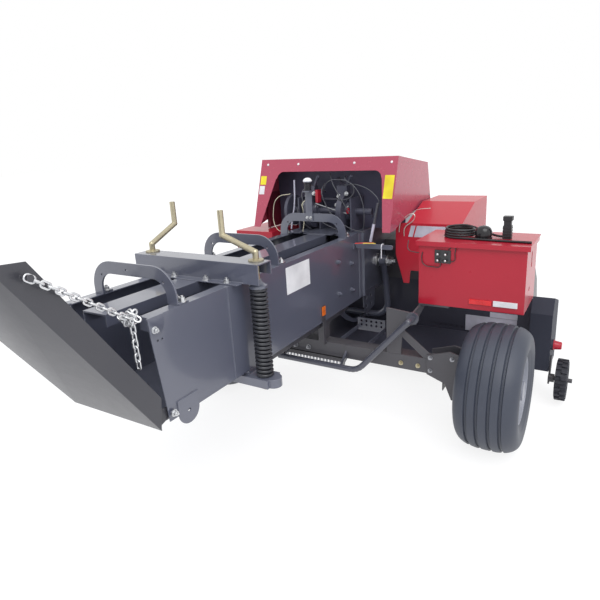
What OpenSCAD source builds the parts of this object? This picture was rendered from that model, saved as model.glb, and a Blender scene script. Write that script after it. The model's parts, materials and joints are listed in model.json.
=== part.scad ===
// Small square baler, towed, with side pickup, knotter hood, twine box and bale chute.
// Millimetres. +X right of travel, +Y forward, +Z up. Ground at zero.

/* [Bale chamber] */
// outside width over the side walls
chamber_w = 470; // [400:5:560]
// height of the side walls
chamber_h = 404; // [340:2:460]
// height of the chamber floor above the ground
chamber_z = 539; // [480:1:620]
// length from the rear end to the drive end
chamber_len = 2900; // [2600:10:3200]
// wall plate thickness
wall_t = 5; // [3:0.5:8]
// floor plate thickness
floor_t = 8; // [5:1:12]
// width of the inward top flanges
flange_w = 50; // [35:1:70]
// lower rear corner of a wall, forward of the rear end
wall_low_y = 30; // [10:1:60]
// upper rear corner of a wall, behind the rear end
wall_top_y = 10; // [0:1:30]
// start of the spring band on the wall
band_y = 409; // [350:1:460]
// width of the spring band
band_w = 96; // [60:1:120]
// thickness of the spring band
band_t = 4; // [3:0.5:8]
// front face of the wall post
post_y = 1690; // [1600:5:1750]
// leg of the wall post along the wall
post_leg = 40; // [30:1:60]
// leg of the wall post away from the wall
post_out = 20; // [12:1:22]
// start of the closed chamber top
top_y = 1555; // [1552:1:1560]
// thickness of the chamber top
top_t = 6; // [4:1:8]
// rear edge of the feed opening
feed_y = 2080; // [2070:5:2120]
// length of the feed opening
feed_len = 400; // [340:5:420]
// height of the feed opening above the floor
feed_lift = 36; // [20:1:60]
// height of the feed opening
feed_h = 250; // [200:5:255]
// place of the towing tab under the wall
tab_y = 125; // [90:1:160]
// width of the towing tab
tab_w = 108; // [80:1:130]
// drop of the towing tab under the floor
tab_drop = 50; // [30:1:60]
// hole in the towing tab
tab_hole = 14; // [10:1:24]
// height of the corner gusset at the rear top
gusset_h = 65; // [50:1:90]
// length of the corner gusset
gusset_len = 62; // [40:1:80]

/* [Top rail and arches] */
// width of the top rail
rail_w = 125; // [100:1:150]
// depth of the top rail
rail_h = 44; // [30:1:60]
// overhang of the rail behind the rear end
rail_over = 38; // [0:1:45]
// distance of the rear arch from the rear end
arch_rear_y = 146; // [120:1:200]
// distance of the middle arch from the rear end
arch_mid_y = 799; // [740:1:860]
// distance of the front arch from the rear end
arch_front_y = 1499; // [1480:1:1500]
// outside width of an arch
arch_w = 456; // [420:1:468]
// height of an arch
arch_h = 140; // [110:1:180]
// width of the arch band
arch_band = 50; // [40:1:60]
// outer corner radius of an arch
arch_r = 112; // [80:1:130]
// plate thickness of an arch
arch_t = 8; // [5:1:12]
// length of the arch foot plates
foot_len = 46; // [36:1:48]
// height of the upright post on the front arch
mast_h = 180; // [140:1:220]
// width of the upright post
mast_w = 44; // [36:1:60]
// overlap of the upright post on the arch
mast_lap = 44; // [30:1:50]
// diameter of the cap on the upright post
mast_cap = 52; // [40:1:60]
// height of the spring under the cap
mast_spring = 55; // [40:1:70]

/* [Density screws] */
// rear face of the upper cross beam
beam_y = 466; // [440:1:480]
// depth of the upper cross beam
beam_d = 96; // [80:1:110]
// height of the upper cross beam
beam_h = 87; // [70:1:100]
// half length of the upper cross beam
beam_half = 355; // [340:1:380]
// plate thickness of the beams
beam_t = 6; // [4:1:8]
// flange behind the upper cross beam
beam_flange = 38; // [30:1:50]
// distance of a screw from the middle
screw_x = 302; // [290:1:315]
// distance of the screws from the rear end
screw_y = 530; // [515:1:545]
// diameter of the screw rods
screw_d = 22; // [16:1:26]
// outside diameter of a spring
spring_d = 78; // [60:1:86]
// wire diameter of a spring
spring_wire = 11; // [8:0.5:13]
// number of turns
spring_turns = 21; // [15:1:26]
// top of the springs under the upper beam's top
spring_drop = 115; // [100:1:140]
// diameter of the crank rods
crank_d = 26; // [20:1:30]
// reach of a crank
crank_reach = 186; // [150:1:220]
// height of a crank grip
crank_grip = 108; // [90:1:140]
// height of the low beam under the floor
low_h = 60; // [50:1:80]
// depth of the low beam along the machine
low_d = 100; // [80:1:120]
// half length of the low beam
low_half = 347; // [335:1:360]
// step of the low beam's ends under the floor
low_step = 19; // [10:1:30]

/* [Bale chute] */
// hinge forward of the rear end
chute_y = 45; // [38:1:60]
// hinge above the chamber floor
chute_lift = 24; // [20:1:34]
// rise of the chute as parked
chute_rise = 57.4; // [40:0.1:70]
// length of the chute
chute_len = 845; // [700:5:900]
// height of the side flanges
chute_side = 82; // [60:1:100]
// depth of the chute floor under the hinge line
chute_drop = 77; // [60:1:90]
// sheet thickness of the chute
chute_t = 4; // [3:0.5:6]
// gap between a wall and a chute flange
chute_gap = 6; // [5:0.5:10]
// slope cut at the lower end of the flanges
chute_cut = 97; // [60:1:120]
// lip under the end of the chute
chute_lip = 20; // [10:1:30]
// diameter of the hinge pins
chute_pin = 16; // [12:1:20]
// length of a chain link
link_len = 40; // [30:1:48]
// width of a chain link
link_w = 25; // [18:1:30]
// wire of a chain link
link_wire = 7; // [5:0.5:8]
// wire of the chain hooks and eyes
hook_d = 10; // [8:0.5:11]
// number of links in a span
span_links = 17; // [12:1:20]
// number of links in a free tail
tail_links = 7; // [4:1:12]

/* [Hood and knotter] */
// width of the hood
hood_w = 956; // [860:2:1000]
// sheet thickness of the hood
hood_t = 4; // [3:0.5:5]
// rear foot of the hood, forward of the rear end
hood_foot_y = 1557; // [1553:1:1600]
// height of the hood's feet above the ground
hood_foot_z = 975; // [965:1:1000]
// rear top edge, forward of the rear end
hood_top_y = 1700; // [1650:1:1750]
// height of the rear top edge
hood_top_z = 1395; // [1340:1:1450]
// front top edge, forward of the rear end
hood_front_y = 2226; // [2150:1:2260]
// height of the front top edge
hood_front_z = 1331; // [1280:1:1380]
// lower front edge, forward of the rear end
hood_low_y = 2290; // [2260:1:2330]
// height of the lower front edge
hood_low_z = 1088; // [1060:1:1110]
// side seam, forward of the rear end
hood_seam_y = 1740; // [1700:1:1790]
// height of the side seam
hood_seam_z = 1009; // [1000:1:1030]
// length of a foot along the side
hood_foot_len = 55; // [40:1:80]
// half width of the rear opening at its top
hood_open_top = 338; // [300:1:360]
// right half of the rear opening at its top
hood_open_right = 384; // [340:1:400]
// half width of the rear opening at its bottom
hood_open_low = 432; // [400:1:445]
// band above the rear opening
hood_band = 82; // [60:1:110]
// corner radius of the rear opening
hood_open_r = 48; // [30:1:70]
// hinge rod diameter
hood_pin = 18; // [12:1:22]
// hinge rod forward of the rear end
hood_pin_y = 2262; // [2258:1:2266]
// height of the hinge rod
hood_pin_z = 1115; // [1110:1:1120]
// distance of the knotters from the middle
knot_x = 115; // [100:1:130]
// knotter shaft forward of the rear end
knot_y = 1730; // [1720:1:1760]
// height of the knotter shaft
knot_z = 1068; // [1062:1:1080]
// diameter of the knotter discs
knot_d = 220; // [180:1:226]

/* [Needles] */
// needle yoke pivot forward of the rear end
yoke_y = 1930; // [1920:1:1940]
// height of the needle yoke pivot
yoke_z = 720; // [716:1:726]
// radius of the needles
needle_r = 420; // [415:1:425]
// diameter of the yoke tube
yoke_d = 44; // [36:1:46]
// distance of the yoke arms from the middle
yoke_x = 283; // [281:1:288]
// pivot pin diameter
yoke_pin = 30; // [24:1:36]
// thickness of a needle across the machine
needle_t = 14; // [10:1:16]
// depth of a needle along its radius
needle_d = 28; // [20:1:30]
// bend radius of the yoke tube
yoke_bend = 110; // [80:1:130]
// parked angle of the yoke tube ahead of straight down
yoke_park = 11; // [8:0.5:12]
// arc from the yoke tube to a needle's tip
needle_arc = 70; // [66:0.5:70]

/* [Feeder and pickup] */
// rear panel of the red cover, forward of the rear end
cover_y = 1800; // [1780:1:1820]
// left edge of the red cover
cover_x = 418; // [400:1:440]
// right edge of the red cover
cover_right = 822; // [760:1:860]
// top of the rear panel
cover_step_z = 995; // [980:1:1005]
// top of the cover
cover_top_z = 1092; // [1060:1:1110]
// start of the flat top, forward of the rear end
cover_top_y = 2100; // [2050:1:2150]
// front of the cover, forward of the rear end
cover_front_y = 2440; // [2400:1:2460]
// bottom of the rear panel
cover_low_z = 700; // [640:1:740]
// tip of the tapered leg
cover_tip_z = 617; // [590:1:660]
// sheet thickness of the cover
cover_t = 4; // [3:0.5:6]
// rear wall of the feeder, forward of the rear end
feeder_y = 2066; // [2060:1:2074]
// front edge of the feeder, forward of the rear end
feeder_front_y = 2480; // [2440:1:2500]
// right end of the feeder
feeder_x = 1120; // [1080:1:1124]
// top of the feeder
feeder_top_z = 834; // [832:1:850]
// sheet thickness of the feeder
feeder_t = 6; // [4:1:8]
// reel centre forward of the rear end
reel_y = 2680; // [2660:1:2720]
// height of the reel centre
reel_z = 318; // [300:1:340]
// radius of the stripper bands
strip_r = 172; // [150:1:190]
// radius over the tine tips
tine_r = 232; // [215:1:245]
// diameter of a tine
tine_d = 7; // [5:0.5:9]
// number of tine rows
tine_rows = 4; // [3:1:6]
// number of tines in a row
tine_count = 12; // [8:1:16]
// left end of the pickup
pickup_left = 262; // [258:1:280]
// right end of the pickup
pickup_right = 1130; // [1126:1:1160]
// inner face of the right shield
shield_x = 1222; // [1218:1:1240]
// width of the right shield
shield_w = 115; // [90:1:130]
// rear face of the shield, forward of the rear end
shield_y = 1790; // [1770:1:1820]
// bottom of the pickup's rear pan
pan_z = 110; // [90:1:140]
// sheet thickness of the rear pan
pan_t = 4; // [3:0.5:6]
// holes in the rear pan
pan_hole = 18; // [12:1:22]
// gauge wheel diameter over the lugs
gauge_d = 236; // [200:1:260]
// gauge wheel width
gauge_w = 60; // [45:1:80]
// gauge wheel centre forward of the rear end
gauge_y = 1806; // [1790:1:1830]
// gauge wheel distance from the shield
gauge_gap = 40; // [30:1:60]
// height of the gauge wheel's lug tips above the ground
gauge_lift = 20; // [0:1:40]

/* [Twine box] */
// left face of the twine box
twine_x = 728; // [700:1:760]
// width of the twine box
twine_w = 518; // [480:2:540]
// rear face forward of the rear end
twine_y = 1330; // [1310:1:1350]
// depth of the twine box
twine_d = 320; // [280:2:340]
// bottom of the twine box
twine_z = 655; // [645:1:670]
// height of the twine box
twine_h = 323; // [280:1:340]
// sheet thickness of the twine box
twine_t = 4; // [3:0.5:6]
// lid overhang
lid_over = 14; // [8:1:20]
// depth of the lid's lips
lid_lip = 24; // [15:1:35]
// lid thickness
lid_t = 4; // [3:0.5:6]
// diameter of the coiled harness
coil_d = 150; // [100:1:180]
// cable diameter of the harness
cable_d = 14; // [10:1:18]

/* [Axle and wheels] */
// axle forward of the rear end
axle_y = 1240; // [1200:1:1280]
// tyre diameter
tyre_d = 616; // [590:1:630]
// tyre width
tyre_w = 288; // [250:1:296]
// rim diameter
rim_d = 330; // [310:1:350]
// right wheel distance from the middle
wheel_x = 1152; // [1140:1:1180]
// left wheel distance from the middle
wheel_left_x = 530; // [526:1:570]
// depth of the tread grooves
groove_d = 12; // [6:1:16]
// width of the tread grooves
groove_w = 14; // [8:1:20]
// side of the square axle beam
axle_s = 80; // [70:1:90]
// bottom of the axle beam
axle_z = 327; // [322:1:335]
// right end of the axle beam
axle_right = 905; // [880:1:930]
// left end of the axle beam
axle_left = 370; // [350:1:380]
// spindle diameter
spindle_d = 50; // [40:1:60]
// guard tube diameter
guard_d = 32; // [26:1:40]
// guard tube forward of the rear end
guard_y = 1130; // [1100:1:1150]
// height of the guard tube's low run
guard_z = 287; // [270:1:310]

/* [Step plate] */
// rear face of the perforated step plate, forward of the rear end
step_y = 1604; // [1580:1:1612]
// left edge of the step plate
step_x = 238; // [236:1:260]
// width of the step plate
step_w = 186; // [150:1:220]
// bottom of the step plate
step_z = 340; // [332:1:350]
// height of the step plate
step_h = 82; // [60:1:90]
// holes in the step plate
step_hole = 15; // [10:1:18]
// holes in the yoke gusset
gusset_hole = 24; // [16:1:30]

/* [Drawbar and drive] */
// drawbar pivot forward of the rear end
bar_y = 2790; // [2760:1:2820]
// drawbar pivot left of the middle
bar_x = 150; // [120:1:170]
// drawbar length from pivot to hitch pin
bar_len = 1210; // [1000:5:1400]
// drawbar width
bar_w = 96; // [80:1:110]
// drawbar height
bar_h = 98; // [80:1:110]
// drawbar underside above the ground
bar_z = 341; // [330:1:350]
// drawbar pin diameter
bar_pin = 40; // [30:1:50]
// hitch pin hole
hitch_hole = 32; // [25:1:36]
// hitch plate thickness
hitch_t = 18; // [14:1:22]
// gap between the hitch plates
hitch_gap = 62; // [50:1:70]
// jack forward of the drawbar pivot
jack_run = 820; // [700:5:900]
// outer diameter of the jack
jack_d = 64; // [54:1:72]
// inner leg of the jack
jack_leg_d = 50; // [42:1:54]
// jack foot diameter
jack_foot = 150; // [120:1:180]
// flywheel diameter
fly_d = 560; // [480:5:620]
// flywheel rim width
fly_w = 84; // [60:1:110]
// drive shaft height
shaft_z = 741; // [720:1:770]
// drive shaft diameter
shaft_d = 45; // [38:1:50]
// splined stub diameter
spline_d = 35; // [30:1:38]

/* [Fits] */
// radial clearance of running fits
run_fit = 0.05; // [0.02:0.01:0.1]
// gap under sliding skids
slide_fit = 0.3; // [0.1:0.1:0.8]
// overrun of cuts
cut = 2; // [1:0.5:4]
// space between pieces that move past each other
clear = 6; // [5:0.5:10]

/* [Hidden] */
$fn = 48;
half_w = chamber_w / 2;
z0 = chamber_z;
z1 = chamber_z + chamber_h;
low_z = z0 - floor_t;
tyre_r = tyre_d / 2;
axis_z = tyre_r;
spring_top_z = z1 + beam_h - spring_drop;
seat_z = low_z - low_step;
beam_top_z = z1 + beam_h;
pin_z = z0 + chute_lift;
gauge_x = shield_x + shield_w + gauge_gap + gauge_w / 2;
gauge_z = gauge_d / 2 + gauge_lift;
hitch_y = bar_y + bar_len;
hitch_z = bar_z + bar_h / 2;
drive_y = chamber_len;
box_back_y = drive_y + fly_w * 3;
fly_y = box_back_y + clear * 4;
shaft_end_y = fly_y + fly_w + spline_d * 6;
front_y = hitch_y + bar_w * 0.45;
back_y = chute_y - chute_len * cos(chute_rise) - (chute_drop + chute_lip) * sin(chute_rise);
right_x = gauge_x + gauge_w / 2 + clear * 4;
left_x = -wheel_left_x - tyre_w / 2;
mid = [(right_x + left_x) / 2, (front_y + back_y) / 2, 0];
chute_n = -chute_drop;
knot_half = half_w - flange_w;
lid_z = twine_z + twine_h + clear;
lid_pin_y = twine_y + twine_d + lid_over;
lid_pin_d = twine_t * 2.5;
lid_knuckle = lid_pin_d * 2;
hook_x = half_w - flange_w + link_wire;
hook_y = -link_len * 1.15;
hook_z = z1 + hook_d * 0.4;
eye_x = half_w + chute_gap + chute_t + link_w * 1.08;
eye_run = chute_len - chute_side;
eye_n = -chute_side * 0.39;

// block between two corners
module blk(a, b) {
  translate(a) cube(b - a);
}

// plate in the y-z plane, from x over the thickness t
module plate_x(pts, x, t) {
  translate([x, 0, 0]) rotate([90, 0, 90]) linear_extrude(t) polygon(pts);
}

// plate in the x-z plane, from y over the thickness t
module plate_y(pts, y, t) {
  translate([0, y + t, 0]) rotate([90, 0, 0]) linear_extrude(t) polygon(pts);
}

// sheet strip across the machine from p to q in the y-z plane, its thickness to the right of that line
module strip(p, q, xa, xb, t) {
  d = (q - p) / norm(q - p);
  e = [d[1], -d[0]] * t;
  plate_x([p, q, q + e, p + e], xa, xb - xa);
}

// round bar between two points
module rod(p, q, d) {
  v = q - p;
  translate(p) rotate([0, acos(v[2] / norm(v)), atan2(v[1], v[0])]) cylinder(h = norm(v), d = d);
}

// round bar along a row of points with ball corners
module bent(pts, d, ball = 1) {
  for (i = [0 : len(pts) - 2]) rod(pts[i], pts[i + 1], d);
  for (i = [1 : len(pts) - 2]) translate(pts[i]) sphere(d = d * ball);
}

// round bar along x
module bar_x(x, y, z, l, d) {
  translate([x, y, z]) rotate([0, 90, 0]) cylinder(h = l, d = d);
}

// round bar along y
module bar_along(x, y, z, l, d) {
  translate([x, y, z]) rotate([-90, 0, 0]) cylinder(h = l, d = d);
}

module wall(open) {
  difference() {
    union() {
      plate_x([[wall_low_y, z0], [chamber_len, z0], [chamber_len, z1], [-wall_top_y, z1]], half_w - wall_t, wall_t);
      blk([half_w - flange_w, 0, z1 - wall_t], [half_w - wall_t / 2, chamber_len, z1]);
      blk([half_w - wall_t / 2, band_y, z0], [half_w + band_t, band_y + band_w, z1]);
      blk([half_w - wall_t / 2, post_y - post_leg, z0], [half_w + band_t, post_y, z1]);
      blk([half_w - wall_t / 2, post_y - band_t, z0], [half_w + post_out, post_y, z1]);
      plate_x([[-wall_top_y / 2, z1 - gusset_h], [gusset_len * 0.7, z1 - gusset_h], [gusset_len, z1 - gusset_h * 0.6],
        [gusset_len, z1], [-wall_top_y, z1]], half_w - wall_t / 2, band_t + wall_t / 2);
      blk([half_w - wall_t / 2, tab_y - tab_w / 2, low_z - tab_drop + tab_w / 2],
        [half_w + wall_t, tab_y + tab_w / 2, z0 + tab_w / 2]);
      bar_x(half_w, tab_y, low_z - tab_drop + tab_w / 2, wall_t, tab_w);
      bar_x(half_w - wall_t * 4.4, chute_y, pin_z, wall_t * 6.4, chute_pin);
      bent([[hook_x, hook_d * 0.6, z1 - wall_t / 2], [hook_x, hook_y, hook_z], [hook_x + link_len, hook_y, hook_z]], hook_d, 1.04);
    }
    blk([half_w - floor_t, tab_y - tab_w, low_z - tab_drop], [half_w, tab_y + tab_w, z0]);
    bar_x(half_w - wall_t, tab_y, low_z - tab_drop + tab_w / 2, wall_t * 3, tab_hole);
    for (s = [0.42, 0.75]) bar_x(half_w - wall_t * 2, gusset_len * s, z1 - gusset_h * 1.4, wall_t * 4, tab_hole * 0.6);
    if (open) {
      blk([half_w - wall_t * 2, feed_y, z0 + feed_lift], [half_w + wall_t, feed_y + feed_len, z0 + feed_lift + feed_h]);
    }
  }
}

module wall_right() {
  color("#4b4f58") wall(true);
}

module wall_left() {
  color("#4b4f58") mirror([1, 0, 0]) wall(false);
}

module chamber_floor() {
  color("#4b4f58") difference() {
    blk([-half_w, wall_low_y, low_z], [half_w, chamber_len, z0]);
    for (s = [-1, 1]) {
      blk([s * knot_x - needle_t, yoke_y - needle_r - needle_d, low_z - cut],
        [s * knot_x + needle_t, yoke_y - needle_r * 0.78, z0 + cut]);
      ear = s * (half_w - wall_t - clear - chute_t / 2);
      blk([ear - clear - chute_t / 2, wall_low_y - cut, low_z - cut],
        [ear + clear + chute_t / 2, chute_y + chute_pin * 2, z0 + cut]);
    }
  }
}

module chamber_top() {
  color("#4b4f58") difference() {
    blk([-half_w, top_y, z1], [half_w, chamber_len, z1 + top_t]);
    for (s = [-1, 1]) {
      blk([s * knot_x - needle_t, top_y - cut, z1 - cut], [s * knot_x + needle_t, yoke_y - needle_r * 0.78, z1 + top_t + cut]);
    }
  }
}

module top_rail() {
  color("#555a63") difference() {
    blk([-rail_w / 2, -rail_over, z1 - rail_h], [rail_w / 2, top_y, z1 + top_t / 3]);
    blk([-rail_w / 2 + wall_t, -rail_over - cut, z1 - rail_h - cut], [rail_w / 2 - wall_t, top_y + cut, z1 - wall_t]);
    blk([-rail_w, beam_y - beam_flange, z1], [rail_w, beam_y + beam_d, z1 + top_t]);
  }
}

module arch_flat() {
  inner = arch_w / 2 - arch_band;
  inner_r = arch_r - arch_band;
  difference() {
    union() {
      translate([-arch_w / 2, 0]) square([arch_w, arch_h - arch_r]);
      translate([-arch_w / 2 + arch_r, 0]) square([arch_w - arch_r * 2, arch_h]);
      for (s = [-1, 1]) translate([s * (arch_w / 2 - arch_r), arch_h - arch_r]) circle(r = arch_r);
    }
    translate([-inner, -cut]) square([inner * 2, arch_h - arch_r + cut]);
    translate([-inner + inner_r, -cut]) square([inner * 2 - inner_r * 2, arch_h - arch_band + cut]);
    for (s = [-1, 1]) translate([s * (inner - inner_r), arch_h - arch_r]) circle(r = inner_r);
    for (s = [-0.74, -0.1, 0.74]) translate([s * arch_w / 2, arch_h - arch_band / 2 - abs(s) * arch_band * 0.9]) circle(d = arch_band * 0.2);
    translate([-arch_w, -arch_r * 2]) square([arch_w * 2, arch_r * 2]);
  }
}

module arches() {
  color("#4a4e57") for (y = [arch_rear_y, arch_mid_y, arch_front_y]) {
    translate([0, y + arch_t / 2, z1]) rotate([90, 0, 0]) linear_extrude(arch_t) arch_flat();
    for (s = [-1, 1]) {
      blk([s * (half_w - flange_w / 2) - foot_len / 2, y, z1], [s * (half_w - flange_w / 2) + foot_len / 2, y + arch_t / 2 + foot_len, z1 + arch_t]);
    }
  }
}

module arch_mast() {
  ym = arch_front_y - arch_t / 2 - arch_t;
  zt = z1 + arch_h - mast_lap + mast_h;
  xm = -mast_w * 0.2;
  color("#4a4e57") {
    blk([xm - mast_w / 2, ym, z1 + arch_h - mast_lap], [xm + mast_w / 2, ym + arch_t, zt]);
    blk([xm - mast_w / 2, ym - mast_w * 0.6, zt - arch_t], [xm + mast_w / 2, ym + mast_w * 0.6, zt]);
    for (s = [-1, 1]) translate([xm + s * mast_w * 0.3, ym, zt - arch_t / 2]) cylinder(h = mast_spring, d = arch_t);
    translate([xm, ym, zt - arch_t / 2]) cylinder(h = mast_spring, d = arch_t * 1.6);
    translate([xm, ym, zt + mast_spring - arch_t]) cylinder(h = arch_t, d = mast_cap);
    translate([xm, ym, zt + mast_spring - arch_t / 2]) difference() {
      sphere(d = mast_cap * 0.9);
      translate([-mast_cap, -mast_cap, -mast_cap * 2]) cube(mast_cap * 2);
    }
  }
}

module cross_beam() {
  color("#5a5f68") difference() {
    union() {
      blk([-beam_half, beam_y, beam_top_z - beam_t], [beam_half, beam_y + beam_d, beam_top_z]);
      blk([-beam_half, beam_y, z1], [beam_half, beam_y + beam_t, beam_top_z]);
      blk([-half_w - beam_flange, beam_y - beam_flange, z1], [half_w + beam_flange, beam_y + beam_t, z1 + beam_t]);
      blk([-beam_half, beam_y + beam_d - beam_t, z1 + beam_h / 3], [beam_half, beam_y + beam_d, beam_top_z]);
    }
    for (s = [-1, 1]) translate([s * screw_x, screw_y, z1]) cylinder(h = beam_h * 2, d = screw_d + run_fit * 2);
  }
}

module low_beam() {
  color("#4b4f58") difference() {
    union() {
      blk([-half_w, screw_y - low_d * 0.3, low_z - low_h], [half_w, screw_y + low_d * 0.7, low_z]);
      blk([-low_half, screw_y - low_d / 2, low_z - low_h], [low_half, screw_y + low_d / 2, seat_z]);
      for (s = [-1, 1]) translate([s * low_half, screw_y, low_z - low_h]) cylinder(h = low_h - low_step, d = low_d * 0.72);
    }
    for (s = [-1, 1]) translate([s * screw_x, screw_y, low_z - low_h - cut]) cylinder(h = low_h * 2, d = screw_d + run_fit * 2);
  }
}

module springs() {
  rise = spring_top_z - seat_z;
  pitch = rise / spring_turns;
  color("#1d1f24") for (s = [-1, 1]) translate([s * screw_x, screw_y, seat_z]) rotate_extrude() {
    translate([spring_d / 2 - spring_wire * 0.8, 0]) square([spring_wire * 0.3, rise]);
    for (i = [0 : spring_turns - 1]) translate([spring_d / 2 - spring_wire / 2, pitch * (i + 0.5)]) circle(d = spring_wire, $fn = 24);
    translate([spring_d / 2 - spring_wire, rise - spring_wire / 2]) square([spring_wire, spring_wire / 2]);
    translate([spring_d / 2 - spring_wire, 0]) square([spring_wire, spring_wire / 2]);
  }
}

// columns: side, heading from the x axis, rise over the reach
crank_rows = [[1, 174, 0.31], [-1, 98, 0.36]];

module cranks() {
  color("#b9a878") for (c = crank_rows) {
    base = [c[0] * screw_x, screw_y, beam_top_z];
    knee = base + [0, 0, crank_d * 1.4];
    elbow = knee + crank_reach * [cos(c[1]), sin(c[1]), c[2]];
    bent([[base[0], base[1], beam_top_z], knee, elbow, elbow + [0, 0, crank_grip]], crank_d, 1.04);
    translate(base) cylinder(h = crank_d * 0.24, d = crank_d * 2.5);
    translate([base[0], base[1], low_z - low_h - crank_d]) cylinder(h = beam_top_z - low_z + low_h + crank_d * 1.2, d = screw_d);
    translate([base[0], base[1], low_z - low_h - crank_d * 0.8]) cylinder(h = crank_d * 0.8, d = crank_d * 1.6, $fn = 6);
    translate([base[0], base[1], spring_top_z]) cylinder(h = crank_d * 0.4, d = spring_d);
  }
}

module chute() {
  outer = half_w + chute_gap + chute_t;
  ear = half_w - wall_t - clear - chute_t;
  n_top = chute_n + chute_side;
  color("#43474f") translate([0, chute_y, pin_z]) rotate([chute_rise, 0, 180]) {
    blk([-outer, chute_t, chute_n], [outer, chute_len, chute_n + chute_t]);
    for (s = [-1, 1]) {
      x = s > 0 ? outer - chute_t : -outer;
      plate_x([[chute_t, chute_n], [chute_len, chute_n], [chute_len - chute_side * 0.75, n_top], [chute_cut, n_top]], x, chute_t);
      e = s > 0 ? ear : -ear - chute_t;
      difference() {
        union() {
          plate_x([[chute_t, chute_n], [chute_cut, chute_n], [chute_pin * 1.2, chute_pin], [-chute_pin, 0]], e, chute_t);
          bar_x(e, 0, 0, chute_t, chute_pin * 2.2);
        }
        bar_x(e - cut, 0, 0, chute_t + cut * 2, chute_pin + run_fit * 2);
      }
    }
    for (s = [0, 1]) mirror([s, 0, 0]) {
      bar_x(outer - chute_t / 2, eye_run, eye_n, eye_x - outer + link_w * 0.6, hook_d);
      bar_x(eye_x + link_w * 0.45, eye_run, eye_n, link_wire * 0.6, hook_d * 2);
    }
    blk([-outer, chute_len - chute_t, chute_n - chute_lip], [outer, chute_len, chute_n + chute_t]);
  }
}

module link() {
  r = link_w / 2 - link_wire / 2;
  run = link_len / 2 - link_w / 2;
  for (s = [-1, 1]) {
    translate([s * run, 0, 0]) rotate([0, 0, s * 90 - 180]) rotate_extrude(angle = 180, $fn = 24) translate([r, 0]) circle(d = link_wire, $fn = 16);
    translate([-run, s * r, 0]) rotate([0, 90, 0]) cylinder(h = run * 2, d = link_wire, $fn = 16);
  }
}

// one row of links from p towards q with a sag, the first link turned a quarter for a turn of one
module link_row(p, q, n, sag, turn) {
  for (i = [0 : n - 1]) {
    a = (i + 0.5) / n;
    slope = sag * 4 * (1 - 2 * a);
    v = q - p - [0, 0, slope];
    flat = norm([v[0], v[1]]);
    translate(p + (q - p) * a - [0, 0, sag * 4 * a * (1 - a)])
      rotate([0, -atan2(v[2], flat), atan2(v[1], v[0])]) rotate([((i + turn) % 2) * 90, 0, 0]) link();
  }
}

chain_high = [eye_x, chute_y - eye_run * cos(chute_rise) + eye_n * sin(chute_rise),
  pin_z + eye_run * sin(chute_rise) + eye_n * cos(chute_rise)];
chain_low = [hook_x + link_len * 0.725, hook_y, hook_z];
chain_way = (chain_low - chain_high) / norm(chain_low - chain_high);

module chains() {
  p = chain_high - chain_way * link_len * 0.15;
  q = chain_low + chain_way * link_len * 0.15;
  color("#c3c4c4") for (s = [0, 1]) mirror([s, 0, 0]) link_row(p, q, span_links, 0, 1);
}

module chain_tails() {
  p = [hook_x + link_len * 0.35, hook_y, hook_z + hook_d / 2];
  q = p - [0, 0, tail_links * (link_len - link_wire * 2.05)];
  color("#c3c4c4") for (s = [0, 1]) mirror([s, 0, 0]) link_row(p, q, tail_links, 0, 0);
}

hood_side_pts = [[hood_foot_y, hood_foot_z], [hood_foot_y + hood_foot_len, hood_foot_z], [hood_seam_y, hood_seam_z],
  [hood_low_y, hood_low_z], [hood_front_y, hood_front_z], [hood_top_y, hood_top_z]];
hood_lean = atan2(hood_top_z - hood_foot_z, hood_top_y - hood_foot_y);
hood_face = norm([hood_top_z - hood_foot_z, hood_top_y - hood_foot_y]);

module hood_face_flat() {
  top = hood_face - hood_band;
  lean = (hood_open_low - hood_open_top) / top;
  lean_right = (hood_open_low - hood_open_right) / top;
  difference() {
    polygon([[-hood_w / 2, 0], [hood_w / 2, 0], [hood_w / 2, hood_face], [-hood_w / 2, hood_face]]);
    polygon([[-hood_open_low, -cut], [hood_open_low, -cut], [hood_open_right + hood_open_r * lean_right, top - hood_open_r],
      [hood_open_right - hood_open_r * 0.95, top], [-hood_open_top + hood_open_r * 0.9, top], [-hood_open_top - hood_open_r * lean, top - hood_open_r]]);
    translate([-hood_open_top + hood_open_r * 0.9, top - hood_open_r]) circle(r = hood_open_r);
    translate([hood_open_right - hood_open_r * 0.95, top - hood_open_r]) circle(r = hood_open_r);
  }
}

module hood() {
  hx = hood_w / 2;
  color("#b8202f") difference() {
    union() {
      for (s = [-1, 1]) {
        x = s > 0 ? hx - hood_t : -hx;
        plate_x(hood_side_pts, x, hood_t);
        xb = s > 0 ? hx - hood_t * 3 : -hx;
        bar_x(xb, hood_pin_y, hood_pin_z, hood_t * 3, hood_pin * 1.9);
      }
      translate([0, hood_foot_y, hood_foot_z]) rotate([hood_lean, 0, 0]) translate([0, 0, -hood_t]) linear_extrude(hood_t) hood_face_flat();
      strip([hood_top_y, hood_top_z], [hood_front_y, hood_front_z], -hx, hx, hood_t);
      strip([hood_front_y, hood_front_z], [hood_low_y, hood_low_z], -hx, hx, hood_t);
    }
    bar_x(-hx - cut, hood_pin_y, hood_pin_z, hood_w + cut * 2, hood_pin + run_fit * 2);
  }
}

module hood_stand() {
  xs = knot_half + hood_pin;
  color("#3c4048") {
    bar_x(-hood_w / 2, hood_pin_y, hood_pin_z, hood_w, hood_pin);
    for (s = [-1, 1]) {
      blk([s * xs - hood_pin / 2, hood_pin_y - hood_pin * 4, z1 + top_t], [s * xs + hood_pin / 2, hood_pin_y - hood_pin * 2, hood_pin_z + hood_pin * 0.6]);
      blk([s * xs - hood_pin / 2, hood_pin_y - hood_pin * 2.2, hood_pin_z - hood_pin * 0.6], [s * xs + hood_pin / 2, hood_pin_y, hood_pin_z + hood_pin * 0.6]);
    }
  }
}

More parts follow.
